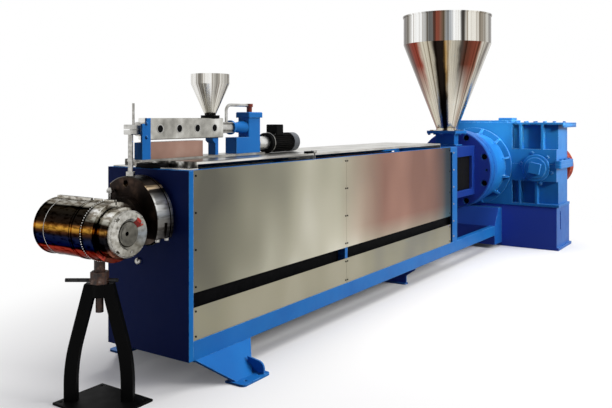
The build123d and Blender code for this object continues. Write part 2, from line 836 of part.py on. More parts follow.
# Cover with a row of round holes on each side, and the shield below it
cover = block(box_front, box_rear, -box_half, box_half, box_low, box_high)
cover = fillet(cover.edges().filter_by(Axis.X), box_round)
inside = box_half - box_t
cover -= block(box_front + box_t, box_rear - box_t, -inside, inside, box_low + box_t, box_high - box_t)
for number in range(box_hole_count):
    hole_x = box_front + box_hole_first + number * box_hole_pitch
    cover -= rod_y(box_hole_r, -box_half - overrun, box_half + overrun, hole_x, small_axis)
cover -= rod_x(small_barrel_r + touch, box_front - overrun, box_rear + overrun, 0, small_axis)
sleeve_r = small_hopper_neck_r + small_hopper_t
cover -= rod_z(sleeve_r + touch, small_axis, box_high + overrun, small_hopper_x, 0)
keep("second_barrel_cover", cover)
shield_high = base_top + shield_h
shield_in = shield_half - box_t
outline = [(-shield_half, base_top), (-shield_in, base_top)]
outline += [(-shield_in, shield_high - box_t), (shield_in, shield_high - box_t)]
outline += [(shield_in, base_top), (shield_half, base_top)]
outline += [(shield_half, shield_high), (-shield_half, shield_high)]
keep("second_shield", prism_x(outline, box_front, shield_rear))

# Throat and small hopper over the feed opening
throat_high = box_high + small_throat_h
profile = [(small_hopper_neck_r, small_axis), (sleeve_r, small_axis)]
profile += [(sleeve_r, box_high), (small_throat_r, box_high)]
profile += [(small_throat_r, throat_high), (small_hopper_neck_r, throat_high)]
small_throat = turned_z(profile, small_hopper_x, 0)
keep("second_throat", small_throat - rod_x(small_barrel_r + touch, box_front, box_rear, 0, small_axis))
bend_z = throat_high + small_hopper_bend
rim_z = throat_high + small_hopper_h
rim_in = small_hopper_r - small_hopper_t
profile = [(small_hopper_neck_r, throat_high), (sleeve_r, throat_high)]
profile += [(small_hopper_r, bend_z), (small_hopper_r, rim_z)]
profile += [(rim_in, rim_z), (rim_in, bend_z)]
keep("second_hopper", turned_z(profile, small_hopper_x, 0))

# Upright drive column with its cap, drive box, nozzle and motor adapter
column = block(column_front, column_rear, -column_half, column_half, base_top, column_cap_low)
column = fillet(column.edges().filter_by(Axis.Z), column_round)
lip = column_cap_lip
cap_high = column_cap_low + column_cap_t
cap_half = column_half + lip
cap = block(column_front - lip, column_rear + lip, -cap_half, cap_half, column_cap_low, cap_high)
cap = fillet(cap.edges().filter_by(Axis.Z) + cap.edges().group_by(Axis.Z)[-1], column_round)
column += cap
drive_rear = (column_front + column_rear) / 2
column += block(drive_box_front, drive_rear, -column_half, column_half, base_top, base_top + drive_box_h)
flange_end = nozzle_front + nozzle_flange_t
profile = [(nozzle_front, 0), (nozzle_front, nozzle_flange_r)]
profile += [(flange_end, nozzle_flange_r), (flange_end, nozzle_tip_r)]
profile += [(column_front, nozzle_r), (drive_rear, nozzle_r), (drive_rear, 0)]
column += turned_x(profile, 0, small_axis)
keep("second_reducer", column)
keep("second_motor_adapter", rod_x(adapter_r, column_rear, motor_front, 0, motor_z))

# Valve on the cap and the bent pipe from the barrel to it
drive_mid = (column_front + column_rear) / 2
valve_top = cap_high + valve_h
profile = [(0, cap_high), (valve_r, cap_high), (valve_r, valve_top), (valve_cap_r, valve_top)]
profile += [(valve_cap_r, valve_top + valve_cap_t), (0, valve_top + valve_cap_t)]
keep("second_valve", turned_z(profile, drive_mid, 0))
bend_top = valve_top + valve_cap_t / 2
route = [(bend_x, 0, small_axis + small_barrel_r / 2), (bend_x, 0, bend_top), (drive_mid, 0, bend_top)]
bend_path = FilletPolyline(*route, radius=bend_round)
bent_pipe = sweep(Plane(origin=bend_path @ 0, z_dir=bend_path % 0) * Circle(bend_r), bend_path)
bent_pipe -= rod_x(small_barrel_r + touch, box_rear, column_front, 0, small_axis)
bent_pipe -= rod_z(valve_cap_r + touch, valve_top, valve_top + valve_cap_t, drive_mid, 0)
keep("second_bent_pipe", bent_pipe)

# Motor with cooling fins, terminal box and fan cover
body_front = motor_front + motor_flange_t
body_end = body_front + motor_body_l
motor = rod_x(motor_r, body_front, body_end, 0, motor_z)
motor += rod_x(motor_flange_r, motor_front, body_front, 0, motor_z)
fin_half = motor_fin_t / 2
fin_top = motor_z + motor_fin_r
fin = block(body_front, body_end, -fin_half, fin_half, motor_z + motor_r / 2, fin_top)
for number in range(motor_fin_count):
    motor += round_x(fin, 360 * number / motor_fin_count, 0, motor_z)
terminal_rear = terminal_front + terminal_l
wide = terminal_half
motor -= block(terminal_front, terminal_rear, -wide, wide, motor_z + motor_r, fin_top + overrun)
keep("second_motor", motor)
terminal = block(terminal_front, terminal_rear, -wide, wide, motor_z + motor_r / 2, fin_top + terminal_h)
upper_edges = terminal.edges().filter_by(Axis.Z) + terminal.edges().group_by(Axis.Z)[-1]
terminal = fillet(upper_edges, terminal_round)
terminal -= rod_x(motor_fin_r + touch, body_front, body_end, 0, motor_z)
keep("second_motor_terminal_box", terminal)
fan_end = body_end + motor_fan_l
profile = [(body_end, 0), (body_end, motor_fin_r), (fan_end - motor_fan_edge, motor_fin_r)]
profile += [(fan_end, motor_fin_r - motor_fan_edge), (fan_end, 0)]
keep("second_motor_fan_cover", turned_x(profile, 0, motor_z))

# Feed housing: a box round the barrel with a window in each side, open for the throat
inside = housing_half - housing_wall
housing = block(rear_face, housing_end, -housing_half, housing_half, housing_low, housing_high)
housing -= block(rear_face + housing_wall, housing_end - housing_wall, -inside, inside,
                 housing_low + housing_wall, housing_high - housing_wall)
wide = housing_half + overrun
window = block(window_front, window_rear, -wide, wide, window_low, window_high)
housing -= fillet(window.edges().filter_by(Axis.Y), window_round)
housing -= rod_x(barrel_r + touch, rear_face - overrun, housing_end + overrun, 0, axis_z)
hole_x = throat_half_x + touch
hole_y = throat_half_y + touch
housing -= block(hopper_x - hole_x, hopper_x + hole_x, -hole_y, hole_y, axis_z, housing_high + overrun)
keep("feed_housing", housing)

# Feed throat: a square neck with a flange at the top and a foot on the housing
throat_front = hopper_x - throat_half_x
throat_rear = hopper_x + throat_half_x
throat = block(throat_front, throat_rear, -throat_half_y, throat_half_y, axis_z, throat_top)
wide = throat_flange_half
throat += block(hopper_x - wide, hopper_x + wide, -wide, wide, throat_top - throat_flange_t, throat_top)
foot_x = throat_half_x + throat_foot_lip
foot_y = throat_half_y + throat_foot_lip
foot_high = housing_high + throat_foot_t
throat += block(hopper_x - foot_x, hopper_x + foot_x, -foot_y, foot_y, housing_high, foot_high)
bore_low = axis_z - overrun
throat -= block(hopper_x - bore_x, hopper_x + bore_x, -bore_y, bore_y, bore_low, throat_top + overrun)
throat -= rod_x(barrel_r + touch, rear_face, housing_end, 0, axis_z)
keep("feed_throat", throat)

# Hopper: thin cone and cylinder with a beaded rim, on a square flange
rim_low = hopper_top - hopper_rim_h
hopper_bend = hopper_top - hopper_drum_h
neck_in = hopper_neck_r - hopper_t
hopper_in = hopper_r - hopper_t
profile = [(neck_in, throat_top), (hopper_neck_r, throat_top)]
profile += [(hopper_neck_r, hopper_cone_low), (hopper_r, hopper_bend)]
profile += [(hopper_r, rim_low), (hopper_r + hopper_rim, rim_low), (hopper_r + hopper_rim, hopper_top)]
profile += [(hopper_in, hopper_top), (hopper_in, hopper_bend), (neck_in, hopper_cone_low)]
hopper = turned_z(profile, hopper_x, 0)
wide = hopper_flange_half
seat_high = throat_top + hopper_flange_t
hopper_flange = block(hopper_x - wide, hopper_x + wide, -wide, wide, throat_top, seat_high)
hopper += hopper_flange - rod_z(neck_in, throat_top - overrun, hopper_top, hopper_x, 0)
keep("feed_hopper", hopper)

# Drum flange: two discs with a gap between them, deep bolt holes and a dowel hole
disc_end = housing_end + drum_t
second_disc = disc_end + drum_gap
drum_end = second_disc + drum_t
gap_r = drum_r - drum_gap_depth
profile = [(housing_end, 0), (housing_end, drum_r - drum_edge)]
profile += [(housing_end + drum_edge, drum_r), (disc_end, drum_r)]
profile += [(disc_end, gap_r), (second_disc, gap_r), (second_disc, drum_r)]
profile += [(drum_end, drum_r), (drum_end, 0)]
drum = turned_x(profile, 0, axis_z)
bolt_start = housing_end - overrun
bolt_end = housing_end + drum_bolt_depth
bolt_hole = rod_x(drum_bolt_r, bolt_start, bolt_end, -drum_bolt_pcd_r, axis_z)
for number in range(drum_bolt_count):
    drum -= round_x(bolt_hole, 360 * (number + 0.5) / drum_bolt_count, 0, axis_z)
drum -= rod_x(drum_pin_r, bolt_start, bolt_end, -drum_bolt_pcd_r, axis_z)
keep("drum_flange", drum)

# Lantern between the drum and the gearbox, with short ribs that rise to its rear flange
flange_start = gear_front - lantern_flange_t
lantern_in = lantern_r - lantern_wall
profile = [(drum_end, lantern_in), (drum_end, lantern_r)]
profile += [(flange_start, lantern_r), (flange_start, lantern_flange_r)]
profile += [(gear_front, lantern_flange_r), (gear_front, lantern_in)]
lantern = turned_x(profile, 0, axis_z)
root = axis_z + lantern_r - lantern_wall / 2
rib_front = flange_start - lantern_rib_l
outline = [(rib_front, root), (flange_start, root), (flange_start, axis_z + lantern_flange_r)]
outline += [(rib_front, axis_z + lantern_r)]
rib = prism_y(outline, -lantern_rib_t / 2, lantern_rib_t / 2)
for number in range(lantern_rib_count):
    lantern += round_x(rib, 360 * (number + 0.5) / lantern_rib_count, 0, axis_z)
keep("lantern", lantern)


def gear_rib(y, low, high):
    """Upright rib on the recessed front of the gearbox."""
    return block(gear_front, gear_front + gear_recess, y - gear_rib_t / 2, y + gear_rib_t / 2, low, high)


# Gearbox lower housing: sole flange, recessed input side with ribs, half of the bearing band, split lip
recess_x = gear_front + gear_recess
lip_low = gear_split - lip_t
lip_start = gear_front - lip_front
lip_end = gear_rear + lip_rear
lower = block(gear_front, gear_rear, gear_step, gear_far, gear_low, gear_split)
lower += block(recess_x, gear_rear, gear_near, gear_step, gear_low, gear_split)
lower += block(gear_front, recess_x, gear_near, gear_step, band_low, gear_split)
lower += block(gear_front, recess_x, gear_near, gear_step, gear_low, gear_low + sole_t)
lower += block(gear_front, gear_rear, gear_near - sole_reach, gear_near, gear_low, gear_low + sole_t)
for rib_y in (rib_lower_near, rib_lower_far):
    lower += gear_rib(rib_y, gear_low + sole_t, band_low)
near_lip = block(lip_start, lip_end, gear_near - lip_reach, gear_near, lip_low, gear_split)
lower += fillet(near_lip.edges().filter_by(Axis.Z).group_by(Axis.Y)[0], lip_round)
far_lip = block(lip_start, lip_end, gear_far, gear_far + lip_reach, lip_low, gear_split)
lower += fillet(far_lip.edges().filter_by(Axis.Z).group_by(Axis.Y)[-1], lip_round)
shaft_bore = rod_x(shaft_r + shaft_clear, gear_rear - shaft_seat, gear_rear + overrun, input_y, axis_z)
keep("gearbox_lower_housing", lower - shaft_bore)

# Gearbox upper housing: the same outline over the split, with a roof plate that overhangs
lip_high = gear_split + lip_t
roof_low = gear_top - roof_t
upper = block(gear_front, gear_rear, gear_step, gear_far, gear_split, gear_top)
upper += block(recess_x, gear_rear, gear_near, gear_step, gear_split, gear_top)
upper += block(gear_front, recess_x, gear_near, gear_step, gear_split, band_high)
upper += block(gear_front, gear_rear + roof_rear, gear_near - roof_near, gear_step, roof_low, gear_top)
for rib_y in (rib_upper_near, rib_upper_far):
    upper += gear_rib(rib_y, band_high, roof_low)
near_lip = block(lip_start, lip_end, gear_near - lip_reach, gear_near, gear_split, lip_high)
upper += fillet(near_lip.edges().filter_by(Axis.Z).group_by(Axis.Y)[0], lip_round)
far_lip = block(lip_start, lip_end, gear_far, gear_far + lip_reach, gear_split, lip_high)
upper += fillet(far_lip.edges().filter_by(Axis.Z).group_by(Axis.Y)[-1], lip_round)
keep("gearbox_upper_housing", upper - shaft_bore)

# Bearing cap with a square boss, and the lid with its vent box
cap_front = gear_front - cap_t
step_front = cap_front - cap_step_t
profile = [(gear_front, 0), (gear_front, cap_r)]
profile += [(cap_front + cap_edge, cap_r), (cap_front, cap_r - cap_edge)]
profile += [(cap_front, cap_step_r), (step_front, cap_step_r - cap_edge), (step_front, 0)]
bearing_cap = turned_x(profile, input_y, axis_z)
near_y = input_y - boss_half
far_y = input_y + boss_half
boss = block(step_front - boss_t, cap_front, near_y, far_y, axis_z - boss_half, axis_z + boss_half)
boss = fillet(boss.edges().filter_by(Axis.X), boss_round)
bearing_cap += round_x(boss, boss_turn, input_y, axis_z)
keep("gearbox_bearing_cap", bearing_cap)
lid_top = gear_top + lid_t
lid = block(lid_front, lid_rear, lid_near, lid_far, gear_top, lid_top)
vent = block(lid_front + vent_inset, lid_rear - vent_inset, vent_near, vent_far, lid_top, lid_top + vent_t)
lid += fillet(vent.edges().filter_by(Axis.Z) + vent.edges().group_by(Axis.Z)[-1], vent_round)
keep("gearbox_lid", lid)

# Input pulley with its shaft, belt grooves and holes in the web
pulley_front = gear_rear + pulley_gap
pulley_rear = pulley_front + belt_edge * 2 + belt_pitch * belt_count
shaft_front = gear_rear - shaft_seat + shaft_clear
web_front = pulley_front + pulley_web_in
web_rear = web_front + pulley_web_t
rim_in = pulley_r - pulley_rim_t
profile = [(shaft_front, 0), (shaft_front, shaft_r), (pulley_front, shaft_r), (pulley_front, pulley_hub_r)]
profile += [(web_front, pulley_hub_r), (web_front, rim_in)]
profile += [(pulley_front, rim_in), (pulley_front, pulley_r)]
top_half = belt_pitch * belt_top_share / 2
root_half = belt_pitch * belt_root_share / 2
for number in range(belt_count):
    groove_mid = pulley_front + belt_edge + belt_pitch * (number + 0.5)
    profile += [(groove_mid - top_half, pulley_r), (groove_mid - root_half, pulley_r - belt_depth)]
    profile += [(groove_mid + root_half, pulley_r - belt_depth), (groove_mid + top_half, pulley_r)]
profile += [(pulley_rear, pulley_r), (pulley_rear, rim_in), (web_rear, rim_in), (web_rear, pulley_hub_r)]
profile += [(pulley_rear, pulley_hub_r), (pulley_rear, 0)]
pulley = turned_x(profile, input_y, axis_z)
web_hole_y = input_y + (pulley_hub_r + rim_in) / 2
web_hole = rod_x(spoke_hole_r, web_front - overrun, web_rear + overrun, web_hole_y, axis_z)
for number in range(spoke_hole_count):
    pulley -= round_x(web_hole, 360 * number / spoke_hole_count, input_y, axis_z)
keep("input_pulley", pulley)

# Pedestal: a box with walls and a floor lip, a sloped nose between the beams and a slot in its near face
top_low = gear_low - pedestal_top_t
in_front = pedestal_front + pedestal_wall
in_rear = pedestal_rear - pedestal_wall
in_near = gear_near + pedestal_wall
in_far = gear_far - pedestal_wall
pedestal = block(pedestal_front, pedestal_rear, gear_near, gear_far, 0, gear_low)
lip_near = gear_near - pedestal_lip
lip_far = gear_far + pedestal_lip
pedestal += block(pedestal_front, pedestal_rear + pedestal_lip, lip_near, lip_far, 0, pedestal_lip_h)
outline = [(beam_end, nose_low), (pedestal_front, nose_low), (pedestal_front, nose_high)]
outline += [(pedestal_front - nose_top_reach, nose_high), (beam_end, nose_knee)]
pedestal += prism_y(outline, -frame_half, frame_half)
pedestal -= block(in_front, in_rear, in_near, in_far, -overrun, top_low)
slot_front = slot_x - slot_w / 2
slot_rear = slot_front + slot_w
slot_in = gear_near + slot_depth
pedestal -= block(slot_front, slot_rear, gear_near - overrun, slot_in, slot_low, slot_high)
keep("gearbox_pedestal", pedestal)
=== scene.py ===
import bpy
import json
import math
from mathutils import Matrix, Vector


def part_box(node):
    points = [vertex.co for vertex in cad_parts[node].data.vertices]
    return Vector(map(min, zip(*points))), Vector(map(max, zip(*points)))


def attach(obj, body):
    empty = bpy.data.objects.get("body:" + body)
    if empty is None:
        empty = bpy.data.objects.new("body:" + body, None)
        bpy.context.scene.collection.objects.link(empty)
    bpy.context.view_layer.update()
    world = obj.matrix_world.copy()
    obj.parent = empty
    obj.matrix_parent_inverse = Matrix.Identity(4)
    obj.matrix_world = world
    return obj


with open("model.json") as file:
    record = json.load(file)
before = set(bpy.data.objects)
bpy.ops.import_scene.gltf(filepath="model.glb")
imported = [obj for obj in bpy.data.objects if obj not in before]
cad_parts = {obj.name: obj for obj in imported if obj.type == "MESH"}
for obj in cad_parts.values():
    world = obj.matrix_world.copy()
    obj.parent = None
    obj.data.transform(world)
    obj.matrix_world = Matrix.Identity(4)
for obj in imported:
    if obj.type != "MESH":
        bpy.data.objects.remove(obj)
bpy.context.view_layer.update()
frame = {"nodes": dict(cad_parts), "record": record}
MM = 0.001

# Camera: level, at the height and angle from which the line is seen, with the horizon above the middle
IMAGE_WIDTH = 612
IMAGE_HEIGHT = 408
HORIZON_ROW = 118
FOCAL_PIXELS = 701
SENSOR_MM = 36.0
SIGHT_M = 200.0
CAMERA_PLACE = (-3.0735, -2.924, 1.455)
CAMERA_HEADING_DEG = -56.16
camera_data = bpy.data.cameras.new("camera")
camera_data.sensor_width = SENSOR_MM
camera_data.lens = FOCAL_PIXELS * SENSOR_MM / IMAGE_WIDTH
camera_data.shift_y = (HORIZON_ROW - IMAGE_HEIGHT / 2) / IMAGE_WIDTH
camera_data.clip_end = SIGHT_M
camera = bpy.data.objects.new("camera", camera_data)
camera.location = CAMERA_PLACE
camera.rotation_euler = (math.radians(90), 0, math.radians(CAMERA_HEADING_DEG))
bpy.context.scene.collection.objects.link(camera)
bpy.context.scene.camera = camera
bpy.context.scene.view_settings.view_transform = "Standard"


# Shading helpers
def linear(code):
    """An sRGB hex colour as linear RGBA."""
    channels = []
    for start in (0, 2, 4):
        value = int(code[start:start + 2], 16) / 255
        channels.append(value / 12.92 if value <= 0.04045 else ((value + 0.055) / 1.055) ** 2.4)
    return (*channels, 1.0)


def fill(tree, node, sockets):
    """Links or sets each named or numbered socket of a node; a hex code stands for a colour."""
    for name, value in sockets.items():
        if isinstance(value, bpy.types.NodeSocket):
            tree.links.new(value, node.inputs[name])
        else:
            node.inputs[name].default_value = linear(value) if isinstance(value, str) else value


def add(tree, kind, sockets, out, stops=(), **settings):
    """Adds a node with its settings, sockets and, for a ramp, its stops, and gives the wanted output."""
    node = tree.nodes.new(kind)
    for name, value in settings.items():
        setattr(node, name, value)
    fill(tree, node, sockets)
    for index, (position, code) in enumerate(stops):
        elements = node.color_ramp.elements
        element = elements[index] if index < 2 else elements.new(position)
        element.position = position
        element.color = linear(code)
    return node.outputs[out]


def ramp(tree, value, stops):
    """The colour for a value, from stops of position and hex code."""
    return add(tree, "ShaderNodeValToRGB", {"Fac": value}, "Color", stops)


def span(tree, value, start=0.0, end=1.0, first=0.0, last=1.0, **settings):
    """Runs from first to last while the value runs from start to end, and stays there beyond."""
    limits = {"Value": value, "From Min": start, "From Max": end, "To Min": first, "To Max": last}
    return add(tree, "ShaderNodeMapRange", limits, "Result", **settings)


def blend(tree, share, first, second, way="MIX"):
    """One colour laid over another by that share."""
    return add(tree, "ShaderNodeMix", {0: share, 6: first, 7: second}, 2, data_type="RGBA", blend_type=way)


def maths(tree, operation, *values):
    """The result of an operation on one or two numbers."""
    return add(tree, "ShaderNodeMath", dict(enumerate(values)), "Value", operation=operation)


def part_of(tree, vector, axis):
    """One axis of a vector."""
    return add(tree, "ShaderNodeSeparateXYZ", {"Vector": vector}, axis)


def moved_by(tree, where, centre):
    """The place as seen from a centre."""
    return add(tree, "ShaderNodeVectorMath", {0: where, 1: centre}, "Vector", operation="SUBTRACT")


def distance(tree, where, weights):
    """Distance from the origin, with a weight for each axis."""
    level = add(tree, "ShaderNodeVectorMath", {0: where, 1: weights}, "Vector", operation="MULTIPLY")
    return add(tree, "ShaderNodeVectorMath", {0: level}, "Value", operation="LENGTH")


def flat_normal(tree):
    """The normal of the face itself."""
    return add(tree, "ShaderNodeNewGeometry", {}, "True Normal")


def bumps(tree, height, depth_mm, **normal):
    """The normal of a face raised by up to that depth."""
    return add(tree, "ShaderNodeBump", {"Height": height, "Distance": depth_mm * MM, **normal}, "Normal")


def seen_by(tree, *rays):
    """1 for rays of the named kinds, 0 for others."""
    seen = 0.0
    for ray in rays:
        seen = maths(tree, "MAXIMUM", seen, add(tree, "ShaderNodeLightPath", {}, ray))
    return seen


def new_material(name):
    """A node material with its tree, its shader and Object coordinates in metres."""
    material = bpy.data.materials.new(name)
    material.use_nodes = True
    tree = material.node_tree
    where = add(tree, "ShaderNodeTexCoord", {}, "Object")
    return material, tree, tree.nodes["Principled BSDF"], where


def mottle(tree, where, size_mm, detail=2.0, stretch=(1, 1, 1)):
    """Uneven patches of about that size, from 0 to 1, drawn out along an axis by the stretch."""
    shrink = tuple(1 / amount for amount in stretch)
    place = add(tree, "ShaderNodeMapping", {"Vector": where, "Scale": shrink}, "Vector")
    size = {"Vector": place, "Scale": 1 / (size_mm * MM), "Detail": detail}
    return add(tree, "ShaderNodeTexNoise", size, "Fac")


def soft_edge(tree, radius_mm):
    """The normal of edges rounded over by that radius, and a mask that is 1 on those edges."""
    rounded = add(tree, "ShaderNodeBevel", {"Radius": radius_mm * MM}, "Normal", samples=6)
    both = {0: rounded, 1: flat_normal(tree)}
    same = add(tree, "ShaderNodeVectorMath", both, "Value", operation="DOT_PRODUCT")
    return rounded, span(tree, same, start=0.97, end=0.80)


def around(tree, where, centre, axis):
    """Turn about an axis through the centre, from 0 to 1: from below for an axis along Y, from -X for one
    along Z."""
    moved = moved_by(tree, where, centre)
    first, second = ("X", "Z") if axis == "Y" else ("Y", "X")
    angle = maths(tree, "ARCTAN2", part_of(tree, moved, first), part_of(tree, moved, second))
    return span(tree, angle, start=-math.pi, end=math.pi)


def middle_of(low, high):
    """The point halfway between two corners."""
    return [(a + b) / 2 for a, b in zip(low, high)]


def bare_metal(tree, shader, colour, grain, smooth, dull, depth_mm):
    """Gives a metal its colour, a roughness from smooth to dull that follows its grain, and its relief."""
    rough = span(tree, grain, first=smooth, last=dull)
    edge_normal, _ = soft_edge(tree, radius_mm=1.5)
    relief = bumps(tree, grain, depth_mm, Normal=edge_normal)
    fill(tree, shader, {"Base Color": colour, "Roughness": rough, "Normal": relief, "Metallic": 1.0})


# Materials
def paint(name, body, light, edge_wear_and_highlight, roughness=0.42, shine=0.18, shade=None):
    """Sprayed machine enamel: one strong colour, faint cloudiness, orange peel, a paler line on the edges
    that is partly wear and partly painted highlight, and, where a shade is given, that colour painted as
    shade on the faces that look forward, away from the light."""
    material, tree, shader, where = new_material(name)
    cloud = mottle(tree, where, size_mm=260, detail=4.0)
    colour = ramp(tree, cloud, [(0.30, body), (0.75, light)])
    # painted shade: the faces turned forward, away from the light, take the shade colour
    if shade:
        forward = span(tree, part_of(tree, flat_normal(tree), "X"), start=-0.6, end=-0.95)
        colour = blend(tree, forward, colour, shade)
    edge_normal, edge = soft_edge(tree, radius_mm=6.0)
    chips = span(tree, mottle(tree, where, size_mm=30, detail=4.0), start=0.38, end=0.55)
    # the paler edge colour is partly wear and partly a painted highlight
    colour = blend(tree, maths(tree, "MULTIPLY", edge, chips), colour, edge_wear_and_highlight)
    smudge = mottle(tree, where, size_mm=60, detail=3.0)
    rough = span(tree, smudge, first=roughness - 0.06, last=roughness + 0.10)
    # orange peel is about 2 mm across and is drawn at 6 mm so that it shows
    peel = bumps(tree, mottle(tree, where, size_mm=6), depth_mm=0.10, Normal=edge_normal)
    fill(tree, shader, {"Base Color": colour, "Roughness": rough})
    fill(tree, shader, {"Normal": peel, "Specular IOR Level": shine})
    return material


def metal(name, tones, cloud_mm, roughness, grain_mm, grain_stretch, depth_mm):
    """Bare metal: cloudy tone, and a grain drawn out along the way it was worked."""
    material, tree, shader, where = new_material(name)
    grain = mottle(tree, where, grain_mm, 3.0, grain_stretch)
    colour = ramp(tree, mottle(tree, where, cloud_mm, 3.0), tones)
    bare_metal(tree, shader, colour, grain, roughness - 0.08, roughness + 0.10, depth_mm)
    return material


def panel_sheet():
    """Side panels of dull stainless: olive grey in front, paler to the rear, with soft patches whose pale
    parts are painted highlights, a pinkish rear panel, and a painted reflection of the blue post at the upper
    panel's end."""
    material, tree, shader, where = new_material("dull_stainless_panel")
    along = part_of(tree, where, "X")
    height = part_of(tree, where, "Z")
    foot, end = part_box("near_upper_panel")
    # soft patches of uneven tone; their palest stops on the upper panel are painted highlights
    patch = mottle(tree, where, size_mm=480, detail=1.0, stretch=(1, 1, 1.7))
    dark = ramp(tree, patch, [
        (0.32, "66645A"), (0.46, "7A7868"), (0.58, "8E8C7B"), (0.68, "AAA796"), (0.78, "CAC8BA")])
    pale = ramp(tree, patch, [(0.32, "AAA793"), (0.46, "BBB7A3"), (0.58, "C7C3B0"), (0.72, "DAD7C8")])
    pink = ramp(tree, patch, [(0.30, "966F60"), (0.50, "AA806F"), (0.62, "B48B79"), (0.78, "C8A998")])
    lower = ramp(tree, patch, [(0.32, "88867A"), (0.50, "98947F"), (0.72, "A6A18D")])
    # the upper panel goes from dark to pale over its front length, the lower one keeps one tone
    grey = blend(tree, span(tree, along, start=-0.10, end=1.20), dark, pale)
    on_upper = maths(tree, "GREATER_THAN", height, foot[2] - 1 * MM)
    grey = blend(tree, on_upper, lower, grey)
    # the pink comes in over the seam and fades downwards
    rear = span(tree, along, start=1.25, end=1.95)
    upper = span(tree, height, start=0.42, end=0.64)
    colour = blend(tree, maths(tree, "MULTIPLY", rear, upper), grey, pink)
    # the last half metre of the upper panel has a painted reflection of the blue post beside it
    painted_post_reflection = ramp(tree, span(tree, along, start=end[0] - 0.5, end=end[0]), [
        (0.00, "FFFFFF"), (0.30, "DBDDDF"), (0.60, "B4C8D3"), (0.80, "679FC2"), (1.00, "5590B8")])
    colour = blend(tree, on_upper, colour, painted_post_reflection, "MULTIPLY")
    grain = mottle(tree, where, size_mm=2.5, detail=3.0, stretch=(60, 1, 1))
    bare_metal(tree, shader, colour, grain, smooth=0.40, dull=0.50, depth_mm=0.001)
    return material


def tray_sheet():
    """Covers over the barrel: bright stainless to the rear, with long dark streaks on the front that are
    painted reflections of the room."""
    material, tree, shader, where = new_material("stainless_sheet_with_painted_reflection_streaks")
    cloud = mottle(tree, where, size_mm=200, detail=3.0)
    bright = ramp(tree, cloud, [(0.30, "A09E97"), (0.50, "BDBBB4"), (0.70, "D4D3CE")])
    # long streaks of painted reflection on the front of the covers
    band = mottle(tree, where, size_mm=70, stretch=(14, 1, 1))
    streaks = ramp(tree, band, [(0.36, "2E2C2A"), (0.46, "4A4845"), (0.54, "8A8780"), (0.62, "E2E0DA")])
    rear = span(tree, part_of(tree, where, "X"), start=0.2, end=1.1)
    colour = blend(tree, rear, streaks, bright)
    grain = mottle(tree, where, size_mm=3, detail=3.0, stretch=(30, 1, 1))
    bare_metal(tree, shader, colour, grain, smooth=0.22, dull=0.40, depth_mm=0.004)
    return material


# Painted reflections on the hoppers by turn, from the left edge as the viewer sees it, over the right edge at
# 0.5, to 1
CONE_PAINTED_REFLECTIONS = [
    (0.00, "8C8478"), (0.06, "4A3A30"), (0.10, "84392B"), (0.13, "8C3E2E"), (0.15, "CFC8B6"),
    (0.19, "C6BEAA"), (0.205, "2A221E"), (0.235, "2E2622"), (0.247, "A8864F"), (0.262, "BFB9A8"),
    (0.29, "A6A092"), (0.305, "463F39"), (0.325, "5A362A"), (0.36, "7C4030"), (0.385, "84543F"),
    (0.40, "CFCABD"), (0.43, "5A5048"), (0.46, "D2CEC4"), (0.50, "6A6058"), (0.58, "B8B2A4"),
    (0.66, "3A302A"), (0.74, "C6C0B2"), (0.82, "7A4434"), (0.90, "BAB4A6")]
DRUM_PAINTED_REFLECTIONS = [
    (0.00, "7C6A5C"), (0.05, "4C443E"), (0.085, "8A857C"), (0.113, "FBFBF9"), (0.155, "F2F2F0"),
    (0.174, "A9A8A4"), (0.19, "63625F"), (0.203, "6C6A68"), (0.209, "86493A"), (0.223, "7E4638"),
    (0.24, "8A7E6C"), (0.255, "959A9F"), (0.272, "F8F8F6"), (0.295, "F0F0EC"), (0.302, "34312E"),
    (0.315, "4A4640"), (0.322, "EEEBE2"), (0.36, "E4E0D6"), (0.392, "8A7F70"), (0.42, "C9C7C0"),
    (0.45, "4E463E"), (0.50, "8A8278"), (0.66, "D8D6D0"), (0.85, "5C544C")]
FOOT_PAINTED_REFLECTIONS = [
    (0.00, "8C8478"), (0.06, "7A4434"), (0.10, "CFC8B6"), (0.185, "D6D0C0"), (0.205, "2A221E"),
    (0.245, "1E1A18"), (0.262, "C9C3B4"), (0.33, "D8D4C8"), (0.36, "B0A090"), (0.40, "CFCABD"),
    (0.46, "D2CEC4"), (0.50, "6A6058")]
SMALL_PAINTED_REFLECTIONS = [
    (0.00, "B4B2AC"), (0.05, "75716A"), (0.09, "DCDAD4"), (0.16, "F4F3F0"), (0.20, "A6A39C"),
    (0.225, "6E6A62"), (0.245, "E4E2DC"), (0.30, "F6F5F2"), (0.335, "BEBBB3"), (0.36, "86827A"),
    (0.39, "DAD7D0"), (0.45, "AAA7A0"), (0.50, "B4B2AC"), (0.75, "DEDCD6")]
LEFT_EDGE_TURN = 0.1875
BEND_SHARE = 0.7506


